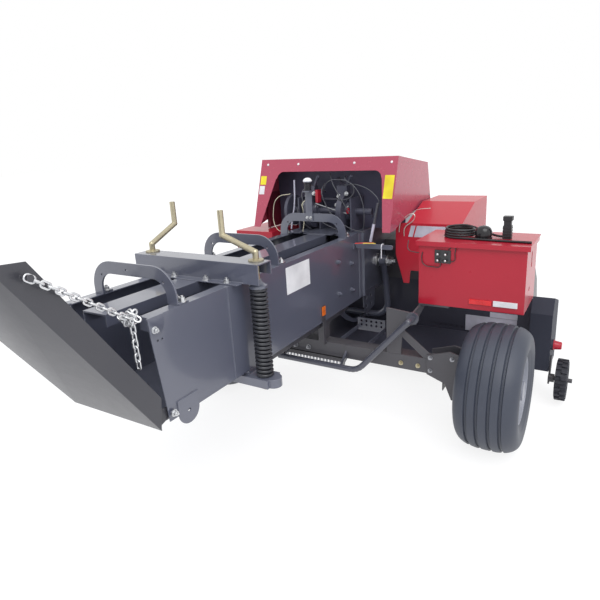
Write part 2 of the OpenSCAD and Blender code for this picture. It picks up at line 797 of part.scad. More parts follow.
module knotter() {
  zt = z1 + top_t;
  color("#2d3036") {
    for (s = [-1, 1]) {
      blk([s * knot_half - wall_t, knot_y - knot_d * 0.35, zt], [s * knot_half + wall_t, knot_y + knot_d * 0.5, knot_z + knot_d * 0.4]);
      bar_x(s * knot_x - knot_d * 0.08, knot_y, knot_z, knot_d * 0.16, knot_d);
      bar_x(s * knot_x - knot_d * 0.2, knot_y, knot_z, knot_d * 0.4, knot_d * 0.5);
      blk([s * knot_x - knot_d * 0.22, knot_y - knot_d * 0.1, knot_z + knot_d * 0.3], [s * knot_x + knot_d * 0.1, knot_y + knot_d * 0.12, knot_z + knot_d * 0.72]);
      rod([s * knot_x, knot_y, knot_z + knot_d * 0.6], [s * knot_x + knot_d * 0.3, knot_y - knot_d * 0.2, knot_z + knot_d], knot_d * 0.09);
      rod([s * knot_x, knot_y, knot_z + knot_d * 0.6], [s * knot_x - knot_d * 0.35, knot_y + knot_d * 0.3, knot_z + knot_d * 0.9], knot_d * 0.07);
      blk([s * knot_x + knot_d * 0.2, knot_y - knot_d * 0.1, zt], [s * knot_x + knot_d * 0.26, knot_y + knot_d * 0.3, knot_z]);
    }
    bar_x(-knot_half - knot_d * 0.5, knot_y, knot_z, knot_half * 2 + knot_d, knot_d * 0.18);
    bar_x(-knot_half, knot_y + knot_d * 0.2, knot_z + knot_d * 0.3, knot_half * 2, knot_d * 0.1);
    bar_x(-knot_half - knot_d * 0.45, knot_y, knot_z, knot_d * 0.1, knot_d * 0.9);
  }
}

module needle_yoke() {
  color("#464a52") translate([0, yoke_y, yoke_z]) rotate([yoke_park, 0, 0]) {
    difference() {
      union() {
        for (s = [-1, 1]) {
          bar_x(s * yoke_x - yoke_d / 2, 0, 0, yoke_d, yoke_d * 1.6);
          rod([s * yoke_x, 0, -yoke_d / 2], [s * yoke_x, 0, yoke_bend - needle_r], yoke_d);
          mirror([s > 0 ? 0 : 1, 0, 0]) translate([yoke_x - yoke_bend, 0, yoke_bend - needle_r]) rotate([90, 0, 0]) rotate([0, 0, -90])
            rotate_extrude(angle = 90) translate([yoke_bend, 0]) circle(d = yoke_d);
          translate([s * knot_x - needle_t / 2, 0, 0]) rotate([0, 90, 0]) rotate([0, 0, -needle_arc]) rotate_extrude(angle = needle_arc, $fn = 96)
            translate([needle_r - needle_d / 2, 0]) square([needle_d, needle_t]);
          bar_x(s * knot_x - yoke_d * 0.4, 0, -needle_r, yoke_d * 0.8, yoke_d * 1.3);
        }
        bar_x(yoke_bend - yoke_x, 0, -needle_r, (yoke_x - yoke_bend) * 2, yoke_d);
      }
      for (s = [-1, 1]) bar_x(s * yoke_x - yoke_d, 0, 0, yoke_d * 2, yoke_pin + run_fit * 2);
    }
  }
}

module yoke_pins() {
  color("#2d3036") for (s = [-1, 1]) {
    x = s > 0 ? half_w : -yoke_x - yoke_d * 0.7;
    bar_x(x, yoke_y, yoke_z, yoke_x + yoke_d * 0.7 - half_w, yoke_pin);
    xb = s > 0 ? half_w : -half_w - yoke_d * 0.3;
    bar_x(xb, yoke_y, yoke_z, yoke_d * 0.3, yoke_d * 2);
    xc = s > 0 ? yoke_x + yoke_d * 0.55 : -yoke_x - yoke_d * 0.7;
    bar_x(xc, yoke_y, yoke_z, yoke_d * 0.15, yoke_d);
  }
}

module plunger() {
  gap = clear + wall_t;
  py = feed_y + feed_len * 0.1;
  color("#6a6d72") difference() {
    blk([-half_w + gap, py, z0 + clear], [half_w - gap, py + feed_len * 0.75, z1 - clear - wall_t]);
    blk([-half_w + gap * 3, py + gap, z0 + gap * 3], [half_w - gap * 3, py + feed_len, z1 - gap * 3]);
  }
  color("#6a6d72") for (s = [-1, 1]) {
    blk([s * half_w * 0.7 - gap, py, z0 + slide_fit], [s * half_w * 0.7 + gap, py + feed_len * 0.75, z0 + gap * 2]);
  }
}

module feeder_cover() {
  xl = hood_w / 2 + clear * 2;
  color("#b8202f") {
    plate_y([[cover_x, cover_step_z], [cover_x, cover_low_z + cover_t * 24], [cover_x + cover_t * 13, cover_tip_z], [cover_x + cover_t * 22, cover_tip_z],
      [cover_x + cover_t * 24, cover_low_z], [cover_right, cover_low_z], [cover_right, cover_step_z]], cover_y, cover_t);
    strip([cover_y, cover_step_z], [cover_top_y, cover_top_z], xl, cover_right, cover_t);
    blk([xl, cover_top_y, cover_top_z - cover_t], [cover_right, cover_front_y, cover_top_z]);
    blk([xl, cover_front_y - cover_t, feeder_top_z], [cover_right, cover_front_y, cover_top_z]);
    plate_x([[cover_y, cover_low_z], [feeder_y, cover_low_z], [feeder_y, feeder_top_z], [cover_front_y, feeder_top_z],
      [cover_front_y, cover_top_z], [cover_top_y, cover_top_z], [cover_y, cover_step_z]], cover_right - cover_t, cover_t);
    plate_x([[cover_top_y, feeder_top_z], [cover_front_y, feeder_top_z], [cover_front_y, cover_top_z], [cover_top_y, cover_top_z]], xl, cover_t);
  }
}

module feeder() {
  zb = z0 + feed_lift;
  color("#3c4048") {
    blk([half_w, feeder_y, zb - feeder_t], [feeder_x, feeder_front_y, zb]);
    blk([half_w, feeder_y, zb - feeder_t], [feeder_x, feeder_y + feeder_t, feeder_top_z]);
    blk([half_w, feeder_y, feeder_top_z - feeder_t], [feeder_x, feeder_front_y, feeder_top_z]);
    blk([feeder_x - feeder_t, feeder_y, zb - feeder_t], [feeder_x, feeder_front_y, feeder_top_z]);
    blk([half_w, feeder_front_y - feeder_t * 10, zb - feeder_t * 16], [feeder_x, feeder_front_y, zb]);
  }
}

module left_shield() {
  xa = -half_w - tyre_w * 1.38;
  xb = -half_w - tyre_w * 0.36;
  ya = hood_foot_y;
  yb = feed_y + feed_len;
  za = z0 + feed_lift;
  zb = z1;
  t = cover_t;
  color("#b8202f") {
    blk([xa, ya, zb - t], [xb, yb, zb]);
    blk([xa, ya, za + feed_h / 3], [xa + t, yb, zb]);
    blk([xa, ya, zb - feed_lift * 1.6], [xb, ya + t, zb]);
    blk([xa, yb - t, za + feed_h / 3], [xb, yb, zb]);
    blk([xb - t, ya, zb - feed_lift], [xb, yb, zb]);
    blk([xb, yb - feed_lift * 2, zb - feed_lift], [-half_w, yb - feed_lift, zb - t]);
    blk([xb, ya + feed_len, zb - feed_lift], [-half_w, ya + feed_len + feed_lift, zb - t]);
  }
}

module twine_arm() {
  ya = post_y - post_leg * 2.2;
  za = z1 - flange_w;
  xe = hood_w / 2 - flange_w * 0.3;
  color("#4a4e57") {
    blk([half_w, ya, za - flange_w * 0.55], [xe, ya + wall_t * 2, za]);
    translate([xe, ya + wall_t * 2, za - flange_w * 0.275]) rotate([90, 0, 0]) cylinder(h = wall_t * 2, d = flange_w * 0.55);
    blk([half_w, ya - flange_w * 0.6, za - flange_w * 0.6], [half_w + wall_t, ya + flange_w * 0.4, za + flange_w * 0.1]);
  }
}

module twine_box() {
  xb = twine_x + twine_w;
  yb = twine_y + twine_d;
  zb = twine_z + twine_h;
  color("#b8202f") {
    difference() {
      blk([twine_x, twine_y, twine_z], [xb, yb, zb]);
      blk([twine_x + twine_t, twine_y + twine_t, twine_z + twine_t], [xb - twine_t, yb - twine_t, zb + cut]);
      blk([xb - twine_t * 2, twine_y + twine_d * 0.45, twine_z + twine_h * 0.62], [xb + cut, twine_y + twine_d * 0.52, twine_z + twine_h * 0.86]);
      bar_x(xb - twine_t * 2, twine_y + twine_d * 0.4, twine_z + twine_h * 0.3, twine_t * 3, lid_lip);
    }
    bar_x(twine_x, lid_pin_y, lid_z - lid_pin_d, twine_w, lid_pin_d);
    for (s = [0.04, 0.5, 0.96]) {
      blk([twine_x + twine_w * s - twine_t, yb - twine_t / 2, lid_z - lid_pin_d * 3], [twine_x + twine_w * s + twine_t, lid_pin_y, lid_z - lid_pin_d * 0.6]);
    }
  }
}

module twine_lid() {
  xa = twine_x - lid_over;
  xb = twine_x + twine_w + lid_over;
  ya = twine_y - lid_over;
  color("#b8202f") difference() {
    union() {
      blk([xa, ya, lid_z], [xb, lid_pin_y, lid_z + lid_t]);
      blk([xa, ya, lid_z + lid_t - lid_lip], [xb, ya + lid_t, lid_z + lid_t]);
      blk([xb - lid_t, ya, lid_z + lid_t - lid_lip], [xb, lid_pin_y - lid_lip * 2, lid_z + lid_t]);
      blk([xa, ya, lid_z + lid_t - lid_lip], [xa + lid_t, lid_pin_y - lid_lip * 2, lid_z + lid_t]);
      for (s = [0.2, 0.8]) {
        bar_x(twine_x + twine_w * s - lid_lip, lid_pin_y, lid_z - lid_pin_d, lid_lip * 2, lid_knuckle);
        blk([twine_x + twine_w * s - lid_lip, lid_pin_y - lid_t, lid_z - lid_pin_d], [twine_x + twine_w * s + lid_lip, lid_pin_y + lid_t, lid_z + lid_t]);
      }
    }
    bar_x(twine_x - cut, lid_pin_y, lid_z - lid_pin_d, twine_w + cut * 2, lid_pin_d + run_fit * 2);
  }
}

module twine_brake() {
  xc = twine_x + twine_w * 0.24;
  zc = twine_z + twine_h * 0.8;
  color("#1b1c1f") {
    blk([xc - lid_lip * 1.7, twine_y - twine_t * 1.5, zc - lid_lip * 1.4], [xc + lid_lip * 1.7, twine_y, zc + lid_lip * 1.4]);
    for (i = [-1, 1]) for (j = [-1, 1]) {
      bar_along(xc + i * lid_lip * 0.8, twine_y - twine_t * 7, zc + j * lid_lip * 0.65, twine_t * 6, lid_lip * 0.5);
    }
  }
}

module harness() {
  xc = twine_x + twine_w * 0.32;
  yc = twine_y + twine_d * 0.5;
  zl = lid_z + lid_t;
  color("#17181a") {
    for (i = [0 : 2]) translate([xc + i * cable_d * 0.4, yc, zl + cable_d * (i + 0.5)]) rotate_extrude() translate([coil_d / 2 - cable_d * i * 0.3, 0]) circle(d = cable_d);
    translate([xc + coil_d, yc - coil_d * 0.2, zl]) cylinder(h = cable_d * 2, d = coil_d * 0.55);
    blk([xc + coil_d * 1.45, yc - cable_d, zl], [xc + coil_d * 1.45 + cable_d * 2, yc + cable_d, zl + cable_d * 5]);
  }
}

// outline of the spindle bracket, shares of the axle's side from the beam's right end
bracket_share = [[-1.06, 1.3], [-1.06, 0], [0.12, -0.45], [0.55, -1.5], [1, -1.5], [1, 1.6], [0.4, 1.75]];

module axle() {
  ya = axle_y - axle_s / 2;
  yb = axle_y + axle_s / 2;
  zt = axle_z + axle_s;
  color("#3f434b") {
    difference() {
      blk([-axle_left, ya, axle_z], [axle_right, yb, zt]);
      blk([-axle_left - cut, ya + wall_t, axle_z + wall_t], [axle_right + cut, yb - wall_t, zt - wall_t]);
    }
    blk([axle_right - wall_t, ya, axle_z - axle_s], [axle_right, yb, zt]);
    for (y = [ya - wall_t * 2, yb]) plate_y([for (p = bracket_share) [axle_right + p[0] * axle_s, axle_z + p[1] * axle_s]], y, wall_t * 2);
    blk([axle_right + axle_s - wall_t, ya, axle_z - axle_s * 1.5], [axle_right + axle_s, yb, axle_z + axle_s * 1.6]);
    blk([-axle_left, ya, axle_z - axle_s], [-axle_left + axle_s, yb, axle_z]);
    blk([-axle_left, ya, axle_z - axle_s], [-axle_left + wall_t, yb, zt]);
    bar_x(axle_right - wall_t, axle_y, axis_z, wheel_x + tyre_w * 0.3 - axle_right, spindle_d);
    bar_x(-wheel_left_x - tyre_w * 0.3, axle_y, axis_z, wheel_left_x + tyre_w * 0.3 - axle_left + wall_t, spindle_d);
    for (s = [-1, 1]) {
      blk([s * (half_w - flange_w / 2) - flange_w / 2, ya, zt], [s * (half_w - flange_w / 2) + flange_w / 2, ya + wall_t * 2, low_z]);
      blk([s * (half_w - flange_w / 2) - wall_t, ya, zt], [s * (half_w - flange_w / 2) + wall_t, yb, low_z]);
    }
  }
}

module box_stand() {
  ya = axle_y - axle_s / 2;
  zt = axle_z + axle_s;
  xp = twine_x - axle_s * 1.6;
  zb = twine_z - wall_t * 2;
  t = wall_t * 2;
  color("#4a4440") {
    plate_y([[xp, zt], [xp + axle_s, zt], [xp + axle_s * 1.1, twine_z - axle_s * 1.2], [xp + axle_s * 2, twine_z - axle_s * 0.9], [xp + axle_s * 2.1, twine_z - axle_s * 0.2],
      [xp, twine_z]], ya, t);
    plate_x([[ya, zt], [ya + axle_s, zt], [ya + axle_s, twine_z - axle_s], [ya, twine_z - axle_s * 0.2]], xp, t);
    plate_x([[ya, twine_z - axle_s * 0.9], [ya + axle_s, twine_z - axle_s], [twine_y + twine_d * 0.5, zb], [twine_y, zb], [ya, twine_z - axle_s * 0.3]], twine_x, t);
    blk([twine_x, twine_y, zb], [twine_x + axle_s * 2, twine_y + twine_d * 0.6, twine_z]);
    plate_y([[xp + axle_s, zt + axle_s * 1.3], [xp + axle_s, zt + axle_s * 1.9], [axle_right - axle_s * 0.9, zt + axle_s * 0.35], [axle_right - axle_s * 0.9, zt],
      [axle_right - axle_s * 1.3, zt]], ya, t);
  }
}

// ball at each bend of the guard tube, share of the tube's diameter
guard_ball_share = 1.04;

module guard_tube() {
  zr = guard_z + guard_d / 2;
  xa = -half_w * 0.2;
  xk = half_w * 1.95;
  xt = twine_x + axle_s * 0.2;
  ztop = twine_z - guard_d * 1.2;
  face = axle_y - axle_s / 2;
  turn = atan2(ztop - zr, xt - xk);
  r = guard_d * 3.2;
  lead = r * tan(turn / 2);
  run = [for (a = [0 : turn / 4 : turn * 1.01]) [xk - lead + r * sin(a), guard_y, zr + r * (1 - cos(a))]];
  color("#45484f") {
    bent(concat([[xa, guard_y, zr]], run, [[xt, guard_y, ztop], [xt, face - wall_t, ztop]]), guard_d, guard_ball_share);
    bar_along(xt, face - wall_t * 2, ztop, wall_t * 2, guard_d * 2);
    for (x = [xa + guard_d * 0.7, half_w * 1.5]) plate_x([[guard_y + guard_d * 0.1, zr - guard_d * 0.2], [guard_y + guard_d * 0.1, zr + guard_d * 0.3],
      [face, axle_z + guard_d * 1.4], [face, axle_z]], x, guard_d * 0.4);
  }
}

// yoke gusset outline, shares of the needle radius back and down from the yoke pivot
gusset_share = [[-0.562, -0.38], [-0.12, -0.38], [-0.167, -0.69], [-0.405, -0.76], [-0.562, -0.62]];

module step_plate() {
  t = wall_t;
  strap = step_h * 0.4;
  color("#3f434b") {
    difference() {
      blk([step_x, step_y, step_z], [step_x + step_w, step_y + t, step_z + step_h]);
      for (i = [0 : 4]) for (j = [0, 1]) {
        bar_along(step_x + step_w * (0.14 + 0.18 * i), step_y - t, step_z + step_h * (0.45 + 0.32 * j), t * 3, step_hole);
      }
    }
    for (x = [step_x, step_x + step_w - t]) {
      blk([x, axle_y + axle_s / 2, step_z + strap * 0.2], [x + t, step_y + t, step_z + strap]);
    }
    difference() {
      plate_x([for (p = gusset_share) [yoke_y + p[0] * needle_r, yoke_z + p[1] * needle_r]], half_w, t);
      for (i = [-0.46, -0.29]) for (j = [-0.5, -0.63]) {
        bar_x(half_w - cut, yoke_y + i * needle_r, yoke_z + j * needle_r, t + cut * 2, gusset_hole);
      }
    }
  }
}

// tyre section above the bead, shares of radius and half width
tyre_share = [[0.60, 0.93], [0.70, 0.985], [0.78, 1.0], [0.86, 0.96], [0.92, 0.86], [0.96, 0.70], [0.985, 0.48], [0.997, 0.22], [1, 0]];
bead_share = 0.86;
groove_share = [-0.52, -0.18, 0.18, 0.52];

module tyre_solid() {
  bead = [rim_d / 2, bead_share * tyre_w / 2];
  left = concat([[bead[0], -bead[1]]], [for (p = tyre_share) [p[0] * tyre_r, -p[1] * tyre_w / 2]]);
  right = concat([for (i = [len(tyre_share) - 2 : -1 : 0]) [tyre_share[i][0] * tyre_r, tyre_share[i][1] * tyre_w / 2]], [bead]);
  rotate([0, 90, 0]) rotate_extrude($fn = 96) difference() {
    polygon(concat(left, right));
    for (g = groove_share) translate([tyre_r * 0.985 - groove_d, g * tyre_w / 2 - groove_w / 2]) square([groove_d * 2, groove_w]);
  }
}

module rim_solid() {
  r = rim_d / 2;
  w = bead_share * tyre_w / 2;
  t = groove_d / 2;
  rotate([0, 90, 0]) difference() {
    rotate_extrude($fn = 96) {
      polygon([[r - t * 2, -w], [r, -w], [r, w], [r - t * 2, w], [r - t * 4, w * 0.72], [r - t * 4, -w * 0.72]]);
      polygon([[spindle_d / 2 + run_fit, w * 0.62], [r - t * 3, w * 0.42], [r - t * 3, w * 0.42 + t * 1.4], [spindle_d * 1.2, w * 0.62 + t * 2], [spindle_d / 2 + run_fit, w * 0.62 + t * 2]]);
      translate([spindle_d / 2 + run_fit, -w * 0.7]) square([spindle_d * 0.42, w * 1.7]);
      translate([0, w]) square([spindle_d * 0.92 + run_fit, t]);
    }
    for (a = [0 : 60 : 300]) rotate([0, 0, a]) translate([r * 0.62, 0, 0]) cylinder(h = w * 2, d = t * 3, center = true);
  }
}

module right_tyre() {
  color("#3f4044") translate([wheel_x, axle_y, axis_z]) tyre_solid();
}

module right_rim() {
  color("#d8d8d4") translate([wheel_x, axle_y, axis_z]) rim_solid();
}

module left_tyre() {
  color("#3f4044") translate([-wheel_left_x, axle_y, axis_z]) mirror([1, 0, 0]) tyre_solid();
}

module left_rim() {
  color("#d8d8d4") translate([-wheel_left_x, axle_y, axis_z]) mirror([1, 0, 0]) rim_solid();
}

// outline of the pickup ends, lengths from the reel centre in shares of the tine radius
end_share = [[-0.6, 0.95], [0.55, 0.55], [0.85, -0.1], [0.6, -0.62], [-0.5, -0.72], [-2.3, -0.7]];
pan_y = feed_y + clear * 4 - pan_t;
shield_foot_z = reel_z - tine_r * 0.6;
shield_top_z = z0 + shield_w / 2;
shield_pts = [[shield_y, shield_foot_z], [shield_y, z0 - floor_t * 3], [shield_y + shield_w * 0.55, shield_top_z],
  [pan_y, shield_top_z - shield_w * 0.7], [pan_y, shield_foot_z - shield_w * 0.2], [shield_y + shield_w, shield_foot_z - shield_w * 0.2]];

module pickup_shield() {
  t = cover_t;
  xo = shield_x + shield_w;
  n = len(shield_pts);
  color("#1f2126") {
    plate_x(shield_pts, xo - t, t);
    for (i = [0 : n - 1]) strip(shield_pts[i], shield_pts[(i + 1) % n], shield_x, xo, t);
    translate([xo, shield_y + shield_w * 0.35, reel_z + t * 3]) rotate([0, 90, 0]) cylinder(h = t * 3, d = shield_w * 0.52);
  }
}

module pickup_pan() {
  zf = z0 + feed_lift - feeder_t;
  zs = shield_top_z - shield_w * 0.8;
  xs = shield_x + shield_w;
  pitch = pan_hole * 2;
  color("#2b2e34") difference() {
    plate_y([[-half_w, low_z], [-half_w, pan_z * 2], [half_w, pan_z * 2], [half_w + pan_z, pan_z], [shield_x, pan_z], [xs, shield_foot_z], [xs, zs],
      [feeder_x, zs], [feeder_x, zf], [half_w, zf], [half_w, low_z]], pan_y, pan_t);
    for (i = [0 : 7]) for (j = [0 : 3]) {
      bar_along(half_w + pan_z * 2.7 + pitch * (i + (j % 2) * 0.5), pan_y - cut, pan_z + pitch * (j + 1.2), pan_t + cut * 2, pan_hole, $fn = 24);
    }
  }
}

module pickup_ends() {
  t = feeder_t;
  zb = z0 + feed_lift;
  pts = [for (p = end_share) [reel_y + p[0] * tine_r, reel_z + p[1] * tine_r]];
  ends = concat([[feeder_y + feed_lift, zb - t], [feeder_front_y, zb - t]], pts);
  color("#2b2e34") for (x = [pickup_left, pickup_right - t]) difference() {
    plate_x(concat([[feeder_front_y - t * 10, feeder_top_z], [feeder_front_y - t * 10, zb - t * 17]], [pts[5] + [tine_r, 0], pts[4], pts[3], pts[2], pts[1], [feeder_front_y + t * 6, zb + tine_r * 0.5]]), x, t);
    bar_x(x - cut, reel_y, reel_z, t + cut * 2, tine_d * 6 + run_fit * 2);
    blk([half_w, feeder_y, zb - t * 16.2], [feeder_x, feeder_front_y, feeder_top_z + cut]);
  }
}

module strippers() {
  gap = (pickup_right - pickup_left) / tine_count;
  color("#2b2e34") for (i = [0 : tine_count]) {
    w = (i == 0 || i == tine_count) ? gap * 0.3 : gap * 0.66;
    x = i == 0 ? pickup_left + feeder_t : i == tine_count ? pickup_right - feeder_t - w : pickup_left + gap * i - w / 2;
    translate([x, reel_y, reel_z]) rotate([0, 90, 0]) rotate([0, 0, -90])
      rotate_extrude(angle = 270, $fn = 72) translate([strip_r - cover_t, 0]) square([cover_t, w]);
    blk([x, feeder_front_y, reel_z + strip_r - cover_t], [x + w, reel_y, reel_z + strip_r]);
    blk([x, reel_y - strip_r, reel_z], [x + w, reel_y - strip_r + cover_t, reel_z + strip_r]);
  }
}

module reel() {
  gap = (pickup_right - pickup_left) / tine_count;
  bar_r = strip_r * 0.62;
  color("#55585e") translate([0, reel_y, reel_z]) {
    bar_x(pickup_left - feeder_t * 2, 0, 0, pickup_right - pickup_left + feeder_t * 4, tine_d * 6);
    for (x = [pickup_left + feeder_t * 2, pickup_right - feeder_t * 4]) bar_x(x, 0, 0, feeder_t, bar_r * 2.3);
    for (k = [0 : tine_rows - 1]) rotate([360 / tine_rows * k, 0, 0]) {
      bar_x(pickup_left + feeder_t * 2, 0, bar_r, pickup_right - pickup_left - feeder_t * 5, tine_d * 4);
      for (i = [0 : tine_count - 1]) translate([pickup_left + gap * (i + 0.5), 0, bar_r]) cylinder(h = tine_r - bar_r, d = tine_d, $fn = 16);
    }
  }
}

module windguard() {
  n = tine_count - 2;
  gap = (pickup_right - pickup_left) / n;
  zb = z0 + feed_lift;
  yw = feeder_front_y + feeder_t * 3;
  zw = zb + tine_r * 0.52;
  color("#3c4048") {
    bar_x(pickup_left + feeder_t, yw, zw, pickup_right - pickup_left - feeder_t * 2, tine_d * 4.5);
    for (i = [0 : n - 1]) bent([[pickup_left + gap * (i + 0.5), yw, zw], [pickup_left + gap * (i + 0.5), reel_y - tine_r * 0.1, zw - tine_d], [pickup_left + gap * (i + 0.5), reel_y + tine_r * 0.72, reel_z + tine_r * 1.2]], tine_d * 1.6);
  }
}

module gauge_arm() {
  xo = shield_x + shield_w;
  color("#2b2e34") {
    plate_x([[gauge_y - gauge_w * 0.4, gauge_z - gauge_w * 0.5], [gauge_y + gauge_w * 0.4, gauge_z - gauge_w * 0.5], [gauge_y + gauge_w * 1.6, gauge_z + gauge_d * 0.34],
      [gauge_y + gauge_w * 0.8, gauge_z + gauge_d * 0.5]], xo, clear * 1.5);
    bar_x(xo, gauge_y, gauge_z, right_x - xo, gauge_w * 0.4);
    bar_x(xo, gauge_y, gauge_z, gauge_gap * 0.8, gauge_w * 0.8);
  }
}

module gauge_wheel() {
  r = gauge_d / 2;
  lug = gauge_w * 0.18;
  color("#2a2b2e") translate([gauge_x, gauge_y, gauge_z]) rotate([0, 90, 0]) {
    rotate_extrude() difference() {
      translate([gauge_w * 0.2 + run_fit, -gauge_w / 2]) square([r - lug - gauge_w * 0.2 - run_fit, gauge_w]);
      for (s = [-1, 1]) translate([r * 0.35, s * gauge_w * 0.5 - gauge_w * 0.2]) square([r * 0.3, gauge_w * 0.4]);
    }
    for (i = [0 : 17]) rotate([0, 0, 20 * i]) for (s = [-1, 1]) {
      rotate([0, 0, s * 5]) translate([r - lug * 1.3, -lug * 0.6, s > 0 ? 0 : -gauge_w * 0.46]) cube([lug * 1.25, lug * 1.2, gauge_w * 0.46]);
    }
  }
}

module frame_rails() {
  rh = floor_t * 10;
  color("#3f434b") {
    for (s = [-1, 1]) {
      blk([s * (half_w - flange_w) - flange_w / 2, feed_y + clear * 4, low_z - rh], [s * (half_w - flange_w) + flange_w / 2, chamber_len + rh, low_z]);
      blk([s * (half_w - flange_w) - flange_w / 2, screw_y + low_d * 0.7, low_z - rh / 2], [s * (half_w - flange_w) + flange_w / 2, axle_y - axle_s / 2, low_z]);
      blk([s * (half_w - flange_w) - flange_w / 2, axle_y + axle_s / 2, low_z - rh / 2], [s * (half_w - flange_w) + flange_w / 2, post_y - post_leg * 4, low_z]);
    }
    blk([-half_w, chamber_len, low_z - rh], [half_w, chamber_len + rh, low_z]);
    blk([-half_w, feed_y + clear * 4, low_z - rh], [half_w, feed_y + rh, low_z]);
    difference() {
      union() {
        blk([-bar_x - bar_w, bar_y - bar_w * 1.2, bar_z + bar_h + floor_t / 8], [-bar_x + bar_w, bar_y + bar_w * 0.8, low_z - rh]);
        blk([-bar_x - bar_w, bar_y - bar_w * 1.2, bar_z - floor_t * 1.6], [-bar_x + bar_w, bar_y + bar_w * 0.8, bar_z - floor_t / 8]);
        blk([-bar_x - bar_w, bar_y - bar_w * 1.2, bar_z - floor_t * 1.6], [-bar_x + bar_w, bar_y - bar_w, low_z - rh]);
      }
    }
    translate([-bar_x, bar_y, bar_z - floor_t * 2]) cylinder(h = bar_h + floor_t * 2.5, d = bar_pin);
  }
}

module drawbar() {
  zt = bar_z + bar_h;
  zm = hitch_z;
  color("#b8202f") translate([-bar_x, bar_y, 0]) difference() {
    union() {
      difference() {
        blk([-bar_w / 2, 0, bar_z], [bar_w / 2, bar_len - bar_w, zt]);
        blk([-bar_w / 2 + floor_t, bar_w, bar_z + floor_t], [bar_w / 2 - floor_t, bar_len - bar_w * 1.2, zt - floor_t]);
      }
      translate([0, 0, bar_z]) cylinder(h = bar_h, d = bar_w);
      for (s = [-1, 1]) {
        za = s > 0 ? zm + hitch_gap / 2 : zm - hitch_gap / 2 - hitch_t;
        blk([-bar_w * 0.45, bar_len - bar_w * 1.2, za], [bar_w * 0.45, bar_len, za + hitch_t]);
        translate([0, bar_len, za]) cylinder(h = hitch_t, d = bar_w * 0.9);
      }
    }
    translate([0, 0, bar_z - cut]) cylinder(h = bar_h + cut * 2, d = bar_pin + run_fit * 2);
    translate([0, bar_len, bar_z - bar_h]) cylinder(h = bar_h * 3, d = hitch_hole);
  }
}

module jack() {
  yj = bar_y + jack_run;
  xj = -bar_x - bar_w / 2 - jack_d * 0.75;
  top = z0 + jack_d;
  color("#8c9096") {
    difference() {
      translate([xj, yj, bar_z - jack_d]) cylinder(h = top - bar_z + jack_d, d = jack_d);
      translate([xj, yj, bar_z - jack_d - cut]) cylinder(h = top - bar_z + jack_d, d = jack_leg_d + run_fit * 2);
    }
    blk([xj + jack_d * 0.45, yj - jack_d / 2, bar_z + wall_t], [-bar_x - bar_w / 2, yj + jack_d / 2, bar_z + bar_h - wall_t]);
    translate([xj, yj, top]) cylinder(h = wall_t * 3, d = jack_d * 1.1);
    bent([[xj, yj, top], [xj, yj, top + jack_d * 0.6], [xj, yj + jack_d * 2, top + jack_d * 0.6], [xj, yj + jack_d * 2, top + jack_d * 1.6]], wall_t * 3.2);
  }
}

module jack_leg() {
  yj = bar_y + jack_run;
  xj = -bar_x - bar_w / 2 - jack_d * 0.75;
  color("#b9bcc0") {
    translate([xj, yj, wall_t]) cylinder(h = bar_z - wall_t - jack_d * 0.2, d = jack_leg_d);
    translate([xj, yj, 0]) cylinder(h = wall_t * 2, d = jack_foot);
  }
}

module gearbox() {
  xh = half_w * 0.62;
  color("#b8202f") difference() {
    union() {
      blk([-xh, drive_y, low_z], [xh, box_back_y - fly_w * 0.5, shaft_z + xh]);
      translate([0, box_back_y - fly_w * 0.5, shaft_z]) rotate([-90, 0, 0]) cylinder(h = fly_w * 0.5, d = shaft_d * 3);
      blk([-half_w, drive_y, low_z], [half_w, drive_y + floor_t * 2, z1]);
    }
    bar_along(0, drive_y + fly_w, shaft_z, fly_w * 3, shaft_d + run_fit * 2);
  }
}

module flywheel() {
  r = fly_d / 2;
  color("#b8202f") translate([0, fly_y, shaft_z]) rotate([-90, 0, 0]) {
    difference() {
      cylinder(h = fly_w, r = r, $fn = 96);
      for (h = [-fly_w * 0.65, fly_w * 0.65]) translate([0, 0, h]) difference() {
        cylinder(h = fly_w, r = r * 0.8, $fn = 96);
        translate([0, 0, -cut]) cylinder(h = fly_w * 2, d = shaft_d * 2.4);
      }
      for (a = [0 : 72 : 288]) rotate([0, 0, a]) translate([r * 0.55, 0, -cut]) cylinder(h = fly_w * 2, d = shaft_d * 1.5);
    }
    translate([0, 0, -fly_w * 2.2]) cylinder(h = fly_w * 3, d = shaft_d);
    translate([0, 0, fly_w * 0.5]) cylinder(h = shaft_end_y - fly_y - fly_w * 0.5, d = spline_d);
  }
}

translate(-mid) {
  wall_right();
  wall_left();
  chamber_floor();
  chamber_top();
  top_rail();
  arches();
  arch_mast();
  cross_beam();
  low_beam();
  springs();
  cranks();
  chute();
  chains();
  chain_tails();
  hood();
  hood_stand();
  knotter();
  needle_yoke();
  yoke_pins();
  plunger();
  feeder_cover();
  feeder();
  left_shield();
  twine_arm();
  twine_box();
  twine_lid();
  twine_brake();
  harness();
  axle();
  box_stand();
  guard_tube();
  step_plate();
  right_tyre();
  right_rim();
  left_tyre();
  left_rim();
  pickup_shield();
  pickup_pan();
  pickup_ends();
  strippers();
  reel();
  windguard();
  gauge_arm();
  gauge_wheel();
  frame_rails();
  drawbar();
  jack();
  jack_leg();
  gearbox();
  flywheel();
}
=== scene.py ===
import json
import math
import bmesh
import bpy
from mathutils import Matrix, Vector


